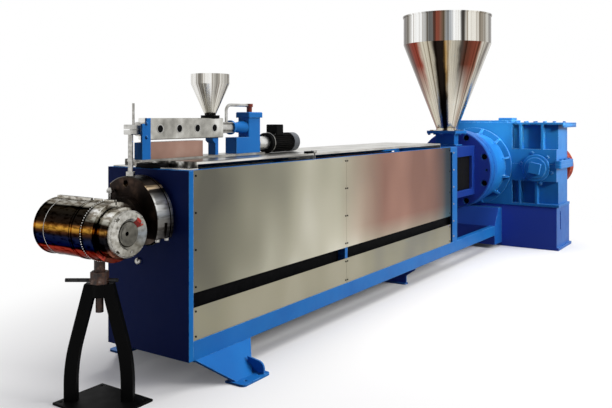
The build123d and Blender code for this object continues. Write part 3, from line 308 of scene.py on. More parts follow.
def polished_sheet():
    """Mirror-polished hoppers: silver with upright streaks of black, cream and rust red painted on as
    reflections of a workshop."""
    material, tree, shader, where = new_material("polished_stainless")
    low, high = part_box("feed_hopper")
    small_low, small_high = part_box("second_hopper")
    centre = ((low[0] + high[0]) / 2, 0, 0)
    small_centre = ((small_low[0] + small_high[0]) / 2, 0, 0)
    height = part_of(tree, where, "Z")
    halfway = (centre[0] + small_centre[0]) / 2
    rear = maths(tree, "GREATER_THAN", part_of(tree, where, "X"), halfway)
    turns = {0: rear, 2: around(tree, where, small_centre, "Z"), 3: around(tree, where, centre, "Z")}
    turn = add(tree, "ShaderNodeMix", turns, 0)
    turn = maths(tree, "FRACT", maths(tree, "ADD", turn, LEFT_EDGE_TURN))
    lines = {"W": turn, "Scale": 70.0, "Detail": 3.0}
    lines = add(tree, "ShaderNodeTexNoise", lines, "Fac", noise_dimensions="1D")
    ripple = mottle(tree, where, size_mm=60, detail=3.0, stretch=(1, 1, 30))
    turn = maths(tree, "ADD", turn, span(tree, ripple, first=-0.012, last=0.012))
    # large hopper: the drum above the bend, and below it the cone, which goes over to its foot
    down = span(tree, height, start=2.0, end=1.62)
    cone = blend(tree, down, ramp(tree, turn, CONE_PAINTED_REFLECTIONS), ramp(tree, turn, FOOT_PAINTED_REFLECTIONS))
    above = maths(tree, "GREATER_THAN", height, low[2] + (high[2] - low[2]) * BEND_SHARE)
    large = blend(tree, above, cone, ramp(tree, turn, DRUM_PAINTED_REFLECTIONS))
    # small hopper: plainer, with an even tone at its foot
    foot = span(tree, height, start=small_low[2] + 140 * MM, end=small_low[2] + 40 * MM, last=0.8)
    small = blend(tree, foot, ramp(tree, turn, SMALL_PAINTED_REFLECTIONS), "DAD7CC")
    colour = blend(tree, rear, small, large)
    # thin lines of painted reflection over the whole sheet
    thin = ramp(tree, lines, [(0.34, "A8A096"), (0.50, "FFFFFF")])
    colour = blend(tree, 1.0, colour, thin, "MULTIPLY")
    rough = span(tree, ripple, first=0.16, last=0.28)
    relief = bumps(tree, ripple, depth_mm=0.02)
    fill(tree, shader, {"Base Color": colour, "Roughness": rough, "Normal": relief, "Metallic": 1.0})
    return material


# Painted reflections on the die head by turn, with a painted silver highlight on top, from 0 underneath over
# 0.25 on the front and 0.5 on top to 1
DRUM_BELOW = [
    (0.00, "5A1C14"), (0.075, "5A3024"), (0.095, "A64034"), (0.150, "AC4438"), (0.160, "2A1A1C"),
    (0.172, "161D38"), (0.222, "1B2038"), (0.236, "1E1A1C"), (0.252, "4A2C1A"), (0.265, "A87A30"),
    (0.277, "D09A3E"), (0.288, "8A5A2C"), (0.298, "241A14")]
COLLAR_BELOW = [
    (0.00, "4A2C22"), (0.075, "5A3A2E"), (0.095, "8A5A48"), (0.140, "7A4C3C"), (0.150, "3A2420"),
    (0.165, "161416"), (0.222, "141518"), (0.236, "1E1A1C"), (0.252, "3A2418"), (0.265, "8A6430"),
    (0.277, "A87C3A"), (0.288, "6A4626"), (0.298, "1A1410")]
FAR_TOP = [
    (0.34, "1A1715"), (0.385, "2C2823"), (0.405, "1A1816"), (0.422, "B5B0A4"), (0.455, "DAD7CE"),
    (0.52, "B4AFA4")]
NEAR_TOP = [
    (0.318, "2A2018"), (0.33, "8B897E"), (0.36, "D2CFC5"), (0.39, "F2F1ED"), (0.42, "BDB9AC"),
    (0.45, "8A8276"), (0.47, "C8C5BC"), (0.52, "B4AFA4")]
DRUM_BEHIND = [
    (0.56, "3A332D"), (0.66, "1A1614"), (0.74, "7A5428"), (0.80, "1C1E38"), (0.90, "4A2420"),
    (1.00, "5A1C14")]


def heater_steel_with_painted_reflections():
    """Polished heater sheet with painted reflections: black with an amber line, navy below, red underneath,
    and a painted silver highlight on top.
    """
    material, tree, shader, where = new_material("polished_heater_steel_with_painted_reflections")
    middle = middle_of(*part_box("die_head_body"))
    turn = around(tree, where, (middle[0], 0, middle[2]), "Y")
    wobble = mottle(tree, where, size_mm=70, detail=4.0, stretch=(1, 5, 1))
    turn = maths(tree, "ADD", turn, span(tree, wobble, first=-0.014, last=0.014))
    # the tones by turn are painted reflections, with a painted silver highlight on top
    far = ramp(tree, turn, DRUM_BELOW + FAR_TOP + DRUM_BEHIND)
    near = ramp(tree, turn, DRUM_BELOW + NEAR_TOP + DRUM_BEHIND)
    collar = ramp(tree, turn, COLLAR_BELOW + NEAR_TOP + DRUM_BEHIND)
    # the collar lies before the near band, and the far tones start at that band's far edge
    across = part_of(tree, where, "Y")
    front, edge = (corner[1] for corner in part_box("near_heater_band"))
    near = blend(tree, span(tree, across, start=front, end=front - 15 * MM), near, collar)
    colour = blend(tree, span(tree, across, start=edge - 40 * MM, end=edge), near, far)
    # painted glints break up the painted reflections
    glint = mottle(tree, where, size_mm=16, detail=3.0, stretch=(1, 3, 1))
    glint = ramp(tree, glint, [(0.36, "A49C94"), (0.52, "FFFFFF")])
    colour = blend(tree, 1.0, colour, glint, "MULTIPLY")
    rough = span(tree, wobble, first=0.14, last=0.26)
    relief = bumps(tree, wobble, depth_mm=0.03)
    fill(tree, shader, {"Base Color": colour, "Roughness": rough, "Normal": relief, "Metallic": 1.0})
    # the oily film keeps the sheet dark where it is seen at a flat angle
    fill(tree, shader, {"Specular Tint": "A8A8A8"})
    return material


# Tones of the flange's rim by height, from 0 at its foot to 1 at its top, with a painted white glint and a
# painted amber glint
RIM_TONES_WITH_PAINTED_GLINTS = [
    (0.00, "5A5754"), (0.33, "6A6764"), (0.40, "4A4845"), (0.46, "6E6B67"), (0.54, "7A7975"),
    (0.60, "9A9EA2"), (0.65, "D2D2CF"), (0.71, "F6F6F4"), (0.76, "DAD9D4"), (0.80, "8A8883"),
    (0.835, "2B2723"), (0.855, "2B2723"), (0.87, "D9C4A6"), (0.89, "D2B892"), (0.91, "292019"),
    (1.00, "2A2622")]
FLANGE_DIAMETER = 480 * MM


def flange_steel():
    """Turned steel flange: oily brown-black on its face and its top, with a painted glint down its rim."""
    material, tree, shader, where = new_material("turned_flange_steel")
    oil = mottle(tree, where, size_mm=90, detail=4.0)
    face = ramp(tree, oil, [(0.30, "16110F"), (0.52, "2A201B"), (0.74, "5A463A")])
    streak = mottle(tree, where, size_mm=16, detail=4.0, stretch=(8, 1, 1))
    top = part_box("barrel_flange")[1][2]
    level = span(tree, part_of(tree, where, "Z"), start=top - FLANGE_DIAMETER, end=top)
    level = maths(tree, "ADD", level, span(tree, streak, first=-0.02, last=0.02))
    scratch = ramp(tree, streak, [(0.34, "8E8A86"), (0.52, "FFFFFF")])
    rim = blend(tree, 1.0, ramp(tree, level, RIM_TONES_WITH_PAINTED_GLINTS), scratch, "MULTIPLY")
    forward = maths(tree, "LESS_THAN", part_of(tree, flat_normal(tree), "X"), -0.9)
    colour = blend(tree, forward, rim, face)
    rough = span(tree, oil, first=0.28, last=0.44)
    edge_normal, _ = soft_edge(tree, radius_mm=2.0)
    relief = bumps(tree, streak, depth_mm=0.03, Normal=edge_normal)
    fill(tree, shader, {"Base Color": colour, "Roughness": rough, "Normal": relief, "Metallic": 1.0})
    return material


def ring_steel():
    """Ring nut: turned steel with a painted sheen that swings round it, bright to the front and above, dull
    to the rear.
    """
    material, tree, shader, where = new_material("turned_ring_steel")
    middle = middle_of(*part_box("die_ring_nut"))
    # painted sheen by turn round the nut
    sheen = ramp(tree, around(tree, where, (middle[0], 0, middle[2]), "Y"), [
        (0.00, "8E8B81"), (0.12, "B8B5AC"), (0.25, "CFCCC4"), (0.40, "C2C0B9"), (0.55, "BDBBB3"),
        (0.66, "B0ADA4"), (0.76, "8A9095"), (0.88, "86837A"), (1.00, "8E8B81")])
    cloud = mottle(tree, where, size_mm=20, detail=3.0)
    stain = ramp(tree, cloud, [(0.30, "BAB8B2"), (0.60, "FFFFFF")])
    colour = blend(tree, 1.0, sheen, stain, "MULTIPLY")
    rough = span(tree, cloud, first=0.24, last=0.42)
    edge_normal, _ = soft_edge(tree, radius_mm=1.5)
    fill(tree, shader, {"Base Color": colour, "Roughness": rough, "Normal": edge_normal, "Metallic": 1.0})
    return material


def rusty_steel():
    """Bare steel gone brown: dark rust with paler patches, a little metal left, and blackened handles."""
    material, tree, shader, where = new_material("rusted_bare_steel")
    patch = mottle(tree, where, size_mm=22, detail=6.0)
    rust = ramp(tree, patch, [(0.30, "1E1613"), (0.48, "3A2820"), (0.58, "553A2C"), (0.72, "7C6E66")])
    # the handles reach out beyond the jack nut
    middle = middle_of(*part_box("jack_screw"))
    away = distance(tree, moved_by(tree, where, (middle[0], middle[1], 0)), weights=(1, 1, 0))
    handle = span(tree, away, start=50 * MM, end=54 * MM)
    colour = blend(tree, handle, rust, "0B0A0A")
    rough = span(tree, patch, first=0.75, last=0.40)
    bare = span(tree, patch, start=0.5, end=0.75)
    relief = bumps(tree, mottle(tree, where, size_mm=3, detail=4.0), depth_mm=0.25)
    fill(tree, shader, {"Base Color": colour, "Roughness": rough, "Metallic": bare, "Normal": relief})
    return material


def cast_iron():
    """Red-primed cast iron, worn to coppery metal where belts run."""
    material, tree, shader, where = new_material("red_primed_cast_iron")
    patch = mottle(tree, where, size_mm=45, detail=5.0)
    colour = ramp(tree, patch, [(0.30, "8E2A1B"), (0.55, "B5472B"), (0.75, "C98862")])
    relief = bumps(tree, mottle(tree, where, size_mm=4, detail=3.0), depth_mm=0.3)
    fill(tree, shader, {"Base Color": colour, "Roughness": 0.5, "Normal": relief})
    return material


def rubber():
    """Black rubber, and the black sheets that stand as painted shade in gaps: dull, nearly black, with a fine
    pebbled face.
    """
    material, tree, shader, where = new_material("black_rubber")
    patch = mottle(tree, where, size_mm=30, detail=3.0)
    colour = ramp(tree, patch, [(0.3, "060607"), (0.7, "0F0F10")])
    relief = bumps(tree, mottle(tree, where, size_mm=4), depth_mm=0.4)
    fill(tree, shader, {"Base Color": colour, "Roughness": 0.8, "Normal": relief, "Specular IOR Level": 0.12})
    return material


def painted_bracket():
    """Base of the small extruder: a bare steel plate below, blue enamel on the bracket that stands on it."""
    material, tree, shader, where = new_material("steel_plate_with_blue_bracket")
    plate_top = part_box("second_shield")[0][2] + 1 * MM
    above = maths(tree, "GREATER_THAN", part_of(tree, where, "Z"), plate_top)
    patch = mottle(tree, where, size_mm=90, detail=3.0)
    steel = ramp(tree, patch, [(0.35, "8A8882"), (0.65, "C2C0BA")])
    colour = blend(tree, above, steel, "1C68B6")
    bare = maths(tree, "SUBTRACT", 1.0, above)
    fill(tree, shader, {"Base Color": colour, "Metallic": bare, "Roughness": 0.4, "Specular IOR Level": 0.2})
    return material


# Blue enamel, sprayed on steel and castings: a strong blue with a soft gloss
blue_enamel = paint("blue_machine_enamel", "1C66B1", "2174BE", "78B0DE")
# The same blue with painted shade: a violet colour painted on the faces turned forward, away from the light
painted_shade_enamel = paint("blue_enamel_with_painted_violet_shade", "1A58A8", "1F67B6", "6FA8DC", shade="324DB5")
# Blue of the front end plate, with a navy colour painted as shade on its forward faces
plate_enamel_with_painted_shade = paint("blue_enamel_with_painted_navy_shade", "1F6CB6", "247AC2", "78B0DE", 0.50, 0.09, "24377A")
# Blue of the feed housing darkened all over as painted shade, with the violet painted shade on its forward
# faces too
housing_enamel_with_painted_shade = paint("blue_enamel_darkened_as_painted_shade", "163382", "1A3C90", "4A78BC", shade="324DB5")
# Other enamels: dull black, satin grey, glossy red and a red gone brown
black_enamel = paint("black_machine_enamel", "030303", "070707", "24221F", 0.55, 0.06)
grey_enamel = paint("grey_machine_enamel", "4E5156", "64676A", "9A9C9E", 0.45, 0.30)
red_enamel = paint("red_machine_enamel", "B4231A", "C93A26", "E08A70", 0.35, 0.40)
rusty_red_enamel = paint("rusty_red_enamel", "6E2C1E", "8A3A28", "B08A78", 0.45, 0.30)
# Stainless sheet: reddish on the shield, bright on the small cover, both with a long grain
shield_sheet = metal("reddish_stainless_sheet", [(0.30, "8A6C60"), (0.55, "A88678"), (0.75, "BBA092")],
                     cloud_mm=260, roughness=0.34, grain_mm=4, grain_stretch=(50, 1, 50), depth_mm=0.004)
bright_sheet = metal("bright_stainless_sheet", [(0.30, "77756F"), (0.50, "B4B2AB"), (0.68, "E2E1DC")],
                     cloud_mm=140, roughness=0.24, grain_mm=3, grain_stretch=(30, 1, 1), depth_mm=0.006)
# Machined steel: even tone with fine turning marks, dark with oil, pale or grey
dark_steel = metal("oiled_dark_steel", [(0.25, "1A1614"), (0.55, "332B26"), (0.80, "5E5249")],
                   cloud_mm=160, roughness=0.34, grain_mm=3, grain_stretch=(1, 12, 12), depth_mm=0.03)
pale_steel = metal("machined_pale_steel", [(0.25, "989691"), (0.55, "C2C1BD"), (0.80, "DEDDD9")],
                   cloud_mm=60, roughness=0.28, grain_mm=2, grain_stretch=(8, 1, 8), depth_mm=0.02)
grey_steel = metal("machined_grey_steel", [(0.25, "45433E"), (0.55, "64625A"), (0.80, "85827A")],
                   cloud_mm=40, roughness=0.32, grain_mm=2, grain_stretch=(8, 1, 8), depth_mm=0.03)
# Fasteners and small castings: grainy without direction, plated grey, silver white or blackened
zinc_steel = metal("zinc_plated_steel", [(0.25, "85837E"), (0.55, "B2B0AB"), (0.80, "D4D2CD")],
                   cloud_mm=20, roughness=0.32, grain_mm=2, grain_stretch=(1, 1, 1), depth_mm=0.02)
aluminium = metal("bright_cast_aluminium", [(0.25, "D6D5D0"), (0.55, "ECECE9"), (0.80, "FAFAF8")],
                  cloud_mm=60, roughness=0.35, grain_mm=2, grain_stretch=(1, 1, 1), depth_mm=0.02)
black_steel = metal("blackened_steel", [(0.25, "0E0E0F"), (0.60, "1B1A1A"), (0.80, "2C2A28")],
                    cloud_mm=20, roughness=0.45, grain_mm=2, grain_stretch=(1, 1, 1), depth_mm=0.03)
cover_sheet = tray_sheet()
heater_painted_reflection_steel = heater_steel_with_painted_reflections()
black_rubber = rubber()

finish_of_slot = {
    "blue_paint": blue_enamel, "stainless_sheet": panel_sheet(), "polished_steel": polished_sheet(),
    "dark_steel": dark_steel, "pale_steel": pale_steel, "black_paint": black_enamel,
    "rusty_steel": rusty_steel(), "grey_paint": grey_enamel, "red_paint": red_enamel,
    "red_cast_iron": cast_iron(),
}
own_finish = {
    "near_heater_band": heater_painted_reflection_steel, "middle_heater_band": heater_painted_reflection_steel, "far_heater_band": heater_painted_reflection_steel,
    "die_head_body": heater_painted_reflection_steel, "barrel_flange": flange_steel(), "die": grey_steel,
    "die_ring_nut": ring_steel(), "melt_pipe": zinc_steel, "melt_probe": zinc_steel,
    "second_barrel": pale_steel, "second_barrel_cover": bright_sheet, "second_shield": shield_sheet,
    "second_bent_pipe": pale_steel, "second_valve": rusty_red_enamel, "second_motor_adapter": aluminium,
    "second_extruder_base": painted_bracket(), "front_barrel_cover": cover_sheet,
    "rear_barrel_cover": cover_sheet, "front_end_plate": plate_enamel_with_painted_shade, "drum_flange": painted_shade_enamel,
    "gearbox_pedestal": painted_shade_enamel, "feed_housing": housing_enamel_with_painted_shade, "rear_leg": painted_shade_enamel,
}
slot_of_node = {part["node"]: part["material_slot"] for part in frame["record"]["subparts"]}
for node_name, node_object in frame["nodes"].items():
    finish = own_finish.get(node_name, finish_of_slot[slot_of_node[node_name]])
    node_object.data.materials.clear()
    node_object.data.materials.append(finish)

# Directions, and how near to Z a normal has to lie for a face to count as level, or as level beside a bevel
TO_VIEWER = (0, -1, 0)
TO_FAR_SIDE = (0, 1, 0)
TO_FRONT = (-1, 0, 0)
TO_REAR = (1, 0, 0)
UP = (0, 0, 1)
DOWN = (0, 0, -1)
LEVEL = 0.9
LEVEL_BY_BEVEL = 0.99
SMOOTH_BELOW = math.radians(32)


# Modelling helpers
def fresh():
    """Object mode with nothing selected."""
    if bpy.context.object and bpy.context.object.mode != "OBJECT":
        bpy.ops.object.mode_set(mode="OBJECT")
    bpy.ops.object.select_all(action="DESELECT")


def settled():
    """The active object, in object mode, at the origin, unturned and unscaled."""
    bpy.ops.object.mode_set(mode="OBJECT")
    bpy.ops.object.transform_apply(location=True, rotation=True, scale=True)
    return bpy.context.object


def pick(piece, test):
    """Selects the faces whose middle and normal pass the test, in edit mode."""
    bpy.ops.object.mode_set(mode="OBJECT")
    mesh = piece.data
    for group in (mesh.vertices, mesh.edges, mesh.polygons):
        group.foreach_set("select", [False] * len(group))
    for face in mesh.polygons:
        face.select = test(face.center, face.normal)
    bpy.ops.object.mode_set(mode="EDIT")
    bpy.ops.mesh.select_mode(type="FACE")


def top_face(centre, normal):
    """True for faces that look up."""
    return normal.z > LEVEL


def end_face(centre, normal):
    """True for faces that look up or down."""
    return abs(normal.z) > LEVEL


def cylinder(radius, height, segments, foot=0.0):
    """Upright cylinder over the origin, from its foot up."""
    fresh()
    middle = (0, 0, foot + height / 2)
    bpy.ops.mesh.primitive_cylinder_add(vertices=segments, radius=radius, depth=height, location=middle)
    return bpy.context.object


def hex_head(radius, height):
    """Bolt head with a bevelled top on a washer, standing on the origin."""
    washer_height = height * 0.2
    chamfer = radius * 0.10
    chamfer_rise = height * 0.12
    washer = cylinder(radius * 1.5, washer_height, 20)
    pick(washer, top_face)
    bpy.ops.mesh.bevel(offset=washer_height * 0.3, segments=1, affect="EDGES")
    bpy.ops.object.mode_set(mode="OBJECT")
    head = cylinder(radius, height, 6, washer_height)
    pick(head, top_face)
    bpy.ops.mesh.inset(thickness=chamfer)
    bpy.ops.transform.translate(value=(0, 0, chamfer_rise))
    bpy.ops.object.mode_set(mode="OBJECT")
    washer.select_set(True)
    bpy.ops.object.join()
    return settled()


def socket_head(radius, height):
    """Round cap screw with a recess in its top, standing on the origin."""
    edge = radius * 0.10
    wall = radius * 0.35
    recess = height * 0.6
    head = cylinder(radius, height, 24)
    pick(head, top_face)
    bpy.ops.mesh.bevel(offset=edge, segments=2, affect="EDGES")
    pick(head, lambda centre, normal: normal.z > LEVEL_BY_BEVEL)
    bpy.ops.mesh.inset(thickness=wall)
    bpy.ops.mesh.extrude_region_move(TRANSFORM_OT_translate={"value": (0, 0, -recess)})
    return settled()


def dome_head(radius, height):
    """Low domed screw head on the origin, rounded off in steps given as shares of its radius and height."""
    head = cylinder(radius, height * 0.4, 18)
    pick(head, top_face)
    for inward, upward in ((0.15, 0.32), (0.25, 0.20), (0.30, 0.08)):
        bpy.ops.mesh.inset(thickness=radius * inward)
        bpy.ops.transform.translate(value=(0, 0, height * upward))
    return settled()


def slab(low, high, edge):
    """Block between two corners with rounded edges."""
    fresh()
    size = [b - a for a, b in zip(low, high)]
    bpy.ops.mesh.primitive_cube_add(size=1, location=middle_of(low, high))
    bpy.ops.transform.resize(value=size)
    bpy.ops.object.transform_apply(location=True, rotation=True, scale=True)
    bpy.ops.object.mode_set(mode="EDIT")
    bpy.ops.mesh.select_all(action="SELECT")
    bpy.ops.mesh.bevel(offset=edge, segments=3, affect="EDGES")
    return settled()


def mirrored_slabs(low, high, edge):
    """The block between two corners and the same one on the other side of the line."""
    slabs = []
    for side in (-1, 1):
        near, far = sorted((side * low[1], side * high[1]))
        slabs.append(slab((low[0], near, low[2]), (high[0], far, high[2]), edge))
    return slabs


def ring(outer, inner, depth, segments):
    """Flat ring about Z with its middle on the origin, rounded on its outer edges."""
    edge = depth * 0.18
    piece = cylinder(outer, depth, segments, -depth / 2)
    pick(piece, end_face)
    bpy.ops.mesh.bevel(offset=edge, segments=2, affect="EDGES")
    pick(piece, lambda centre, normal: abs(normal.z) > LEVEL_BY_BEVEL)
    bpy.ops.mesh.inset(thickness=outer - edge - inner)
    bpy.ops.mesh.bridge_edge_loops()
    return settled()


def paint_patch(outer, inner, rise, start, end):
    """Part of a thin cone about Z between two radii, wide at its foot, from a start angle to an end angle."""
    fresh()
    bpy.ops.mesh.primitive_cone_add(vertices=120, radius1=outer, radius2=inner, depth=rise,
                                    end_fill_type="NOTHING", location=(0, 0, rise / 2))
    piece = settled()
    pick(piece, lambda centre, normal: not start < math.atan2(centre.y, -centre.x) < end)
    bpy.ops.mesh.delete(type="FACE")
    bpy.ops.mesh.select_all(action="SELECT")
    bpy.ops.mesh.solidify(thickness=1 * MM)
    return settled()


def joined(name, pieces):
    """Joins pieces into one object with that name."""
    fresh()
    for piece in pieces:
        piece.select_set(True)
    bpy.context.view_layer.objects.active = pieces[0]
    if len(pieces) > 1:
        bpy.ops.object.join()
    piece = bpy.context.object
    piece.name = name
    piece.data.name = name
    return piece


def spread(name, model, places):
    """One piece made of copies of the model, each at a place with its Z along a direction; the model goes."""
    fresh()
    copies = []
    for spot, direction in places:
        turn = Vector(direction).to_track_quat("Z", "Y").to_matrix().to_4x4()
        copy = bpy.data.objects.new(name, model.data.copy())
        copy.data.transform(Matrix.Translation(Vector(spot)) @ turn)
        bpy.context.scene.collection.objects.link(copy)
        copies.append(copy)
    bpy.data.objects.remove(model, do_unlink=True)
    return joined(name, copies)


def done(piece, material, body="line"):
    """Gives a finished piece its material, smooth shading and body."""
    fresh()
    piece.select_set(True)
    bpy.context.view_layer.objects.active = piece
    bpy.ops.object.shade_smooth_by_angle(angle=SMOOTH_BELOW)
    piece.data.materials.clear()
    piece.data.materials.append(material)
    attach(piece, body)


def both_sides(points):
    """Places on the near face and the same ones on the far face, from (x, |y|, z) points."""
    near = [((x, -y, z), TO_VIEWER) for x, y, z in points]
    return near + [((x, y, z), TO_FAR_SIDE) for x, y, z in points]


def circle_about_x(centre, radius, count, offset, direction):
    """Places round an axis along X, all facing one way, the first one turned by that share of a step."""
    x, y, z = centre
    turns = [math.tau * (k + offset) / count for k in range(count)]
    return [((x, y + radius * math.cos(turn), z + radius * math.sin(turn)), direction) for turn in turns]


def circle_about_y(centre, radius, count, offset):
    """Places round an axis along Y, each facing outward, the first one turned by that share of a step."""
    x, y, z = centre
    places = []
    for k in range(count):
        turn = math.tau * (k + offset) / count
        out = (math.cos(turn), 0, math.sin(turn))
        places.append(((x + out[0] * radius, y, z + out[2] * radius), out))
    return places


# Screws that hold the side panels, at their ends and on both sides of the seam between front and rear panel
SEAM_X = 1348.5 * MM
SEAM_INSET = 13 * MM
END_INSET = 22 * MM
ROW_INSET = 30 * MM
ROWS = 4
low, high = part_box("near_upper_panel")
panel_face = -low[1]
columns = (low[0] + END_INSET, SEAM_X - SEAM_INSET, SEAM_X + SEAM_INSET, high[0] - END_INSET)
row_step = (high[2] - low[2] - 2 * ROW_INSET) / (ROWS - 1)
rows = [low[2] + ROW_INSET + k * row_step for k in range(ROWS)]
points = [(x, panel_face, z) for x in columns for z in rows]
low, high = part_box("near_lower_panel")
points += [(x, panel_face, z) for x in columns for z in (low[2] + END_INSET, high[2] - END_INSET)]
panel_screw = dome_head(radius=6 * MM, height=5 * MM)
done(spread("panel_screws", panel_screw, both_sides(points)), black_steel)

# Black sheets behind the slots between the panels, screwed to the posts' inner edges, as painted shade in the
# slots
SHEET_OVERLAP = 60 * MM
SHEET_DEPTH = 4 * MM
PLATE_GAP = 2 * MM
POST_OVERLAP = 90 * MM
slot_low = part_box("near_lower_panel")[1][2] - SHEET_OVERLAP
slot_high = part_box("near_upper_panel")[0][2] + SHEET_OVERLAP
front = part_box("front_end_plate")[1][0] + PLATE_GAP
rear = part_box("rear_end_plate")[0][0] + POST_OVERLAP
post_edge = -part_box("near_middle_post")[1][1]
shade_sheets = mirrored_slabs((front, post_edge - SHEET_DEPTH, slot_low), (rear, post_edge, slot_high), edge=1 * MM)
done(joined("slot_shade_sheets", shade_sheets), black_rubber)

# Black sheets inside the feed housing, behind its windows, as painted shade in them
HOUSING_WALL = 30 * MM
WALL_GAP = 0.5 * MM
low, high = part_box("feed_housing")
margin = HOUSING_WALL + SHEET_DEPTH
shade_sheets = mirrored_slabs(
    (low[0] + margin, high[1] - margin, low[2] + margin),
    (high[0] - margin, high[1] - HOUSING_WALL - WALL_GAP, high[2] - margin), edge=1 * MM)
done(joined("window_shade_sheets", shade_sheets), black_rubber)

# Bolts on the rear posts, on the edge beside the panels, at shares of the posts' height
POST_BOLT_SHARES = (0.06, 0.22, 0.40, 0.58, 0.76, 0.94)
POST_BOLT_INSET = 25 * MM
low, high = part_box("rear_end_plate")
bolt_x = low[0] + POST_BOLT_INSET
points = [(bolt_x, -low[1], low[2] + (high[2] - low[2]) * share) for share in POST_BOLT_SHARES]
post_bolt = dome_head(radius=9 * MM, height=9 * MM)
done(spread("post_bolts", post_bolt, both_sides(points)), zinc_steel)

# Dark cap screws down in the drum's bolt holes
DRUM_HOLE_CIRCLE = 367.5 * MM
DRUM_HOLE_FLOOR = 50 * MM
low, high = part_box("drum_flange")
drum_centre = (low[0] + DRUM_HOLE_FLOOR, 0, (low[2] + high[2]) / 2)
places = circle_about_x(drum_centre, DRUM_HOLE_CIRCLE, 8, 0.5, TO_FRONT)
drum_bolt = socket_head(radius=26 * MM, height=30 * MM)
done(spread("drum_bolts", drum_bolt, places), black_steel)

# Painted bolts round the bearing cap, along the roof plate, on the split lips and on the throat flange
CAP_BOLT_CIRCLE = 172 * MM
low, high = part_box("gearbox_bearing_cap")
cap_middle = middle_of(low, high)
places = circle_about_x((high[0], cap_middle[1], cap_middle[2]), CAP_BOLT_CIRCLE, 6, 0.25, TO_FRONT)
ROOF_BOLTS = 5
FRONT_ROW_INSET = 24 * MM
REAR_ROW_INSET = 114 * MM
NEAR_BOLTS_Y = -900 * MM
NEAR_BOLTS_PITCH = 105 * MM
FAR_BOLTS_Y = -380 * MM
FAR_BOLTS_PITCH = 190 * MM
roof_low, roof_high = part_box("gearbox_upper_housing")
roof_z = roof_high[2]
gear_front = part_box("lantern")[1][0]
front_row = gear_front + FRONT_ROW_INSET
rear_row = roof_high[0] - REAR_ROW_INSET
for k in range(ROOF_BOLTS):
    near_y = NEAR_BOLTS_Y + k * NEAR_BOLTS_PITCH
    far_y = FAR_BOLTS_Y + k * FAR_BOLTS_PITCH
    for x, y in ((front_row, near_y), (front_row, far_y), (rear_row, near_y)):
        places.append(((x, y, roof_z), UP))
GEARBOX_LENGTH = 475 * MM
GEARBOX_NEAR_Y = -932 * MM
GEARBOX_FAR_Y = 443 * MM
LIP_TOP = 987 * MM
LIP_BOLT_REACH = 30 * MM
for share in (0.12, 0.5, 0.88):
    x = gear_front + GEARBOX_LENGTH * share
    places.append(((x, GEARBOX_NEAR_Y - LIP_BOLT_REACH, LIP_TOP), UP))
    places.append(((x, GEARBOX_FAR_Y + LIP_BOLT_REACH, LIP_TOP), UP))
THROAT_BOLT_REACH = 142 * MM
THROAT_FLANGE_DEPTH = 30 * MM
low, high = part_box("feed_throat")
throat_x = (low[0] + high[0]) / 2
throat_z = high[2] - THROAT_FLANGE_DEPTH
for ahead in (-1, 0, 1):
    for aside in (-1, 0, 1):
        if ahead or aside:
            spot = (throat_x + ahead * THROAT_BOLT_REACH, aside * THROAT_BOLT_REACH, throat_z)
            places.append((spot, DOWN))
painted_bolt = hex_head(radius=15 * MM, height=12 * MM)
done(spread("painted_bolts", painted_bolt, places), blue_enamel)

# Turned-down lip at the near end of the gearbox's roof plate
ROOF_DEPTH = 18 * MM
ROOF_LIP_DROP = 34 * MM
ROOF_LIP_DEPTH = 12 * MM
ROOF_LIP_INSET = 2 * MM
lip_top = roof_z - ROOF_DEPTH
roof_lip = slab((gear_front + ROOF_LIP_INSET, roof_low[1], lip_top - ROOF_LIP_DROP),
                (roof_high[0] - ROOF_LIP_INSET, roof_low[1] + ROOF_LIP_DEPTH, lip_top), edge=2 * MM)
done(joined("roof_lip", [roof_lip]), blue_enamel)

# Domed bolt on the front end plate
PLATE_BOLT_Y = 63 * MM
PLATE_BOLT_Z = 649 * MM
plate_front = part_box("front_end_plate")[0][0]
plate_bolt = dome_head(radius=20 * MM, height=22 * MM)
places = [((plate_front, PLATE_BOLT_Y, PLATE_BOLT_Z), TO_FRONT)]
done(spread("end_plate_bolt", plate_bolt, places), zinc_steel)

# Two cap screws under the rim of the barrel flange, at shares of its thickness
RIM_BOLT_SHARES = (0.22, 0.80)
RIM_BOLT_INSET = 34 * MM
low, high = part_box("barrel_flange")
rim_bolt = socket_head(radius=13 * MM, height=16 * MM)
places = []
for share in RIM_BOLT_SHARES:
    x = low[0] + (high[0] - low[0]) * share
    places.append(((x, low[1] + RIM_BOLT_INSET, low[2]), DOWN))
done(spread("flange_rim_bolts", rim_bolt, places), zinc_steel)

# Knurled teeth on the rim of the ring nut
TEETH = 60
TOOTH_LOW = (-3 * MM, -4 * MM, -4 * MM)
TOOTH_HIGH = (3 * MM, 4 * MM, 2.5 * MM)
KNURL_SETBACK = 12 * MM
nut_low, nut_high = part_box("die_ring_nut")
head_x, _, head_z = middle_of(nut_low, nut_high)
nut_face = nut_low[1]
nut_r = (nut_high[2] - nut_low[2]) / 2
tooth = slab(TOOTH_LOW, TOOTH_HIGH, edge=1 * MM)
places = circle_about_y((head_x, nut_face + KNURL_SETBACK, head_z), nut_r, TEETH, 0)
done(spread("ring_nut_knurl", tooth, places), zinc_steel)

# Screws in the ring nut's face
NUT_SCREW_CIRCLE = 88 * MM
NUT_SCREWS = 3
NUT_SCREW_TURN = 0.6
first_share = NUT_SCREW_TURN * NUT_SCREWS / math.tau
places = circle_about_y((head_x, nut_face, head_z), NUT_SCREW_CIRCLE, NUT_SCREWS, first_share)
nut_screw = socket_head(radius=6 * MM, height=4 * MM)
places = [(spot, TO_VIEWER) for spot, _ in places]
done(spread("ring_nut_screws", nut_screw, places), zinc_steel)

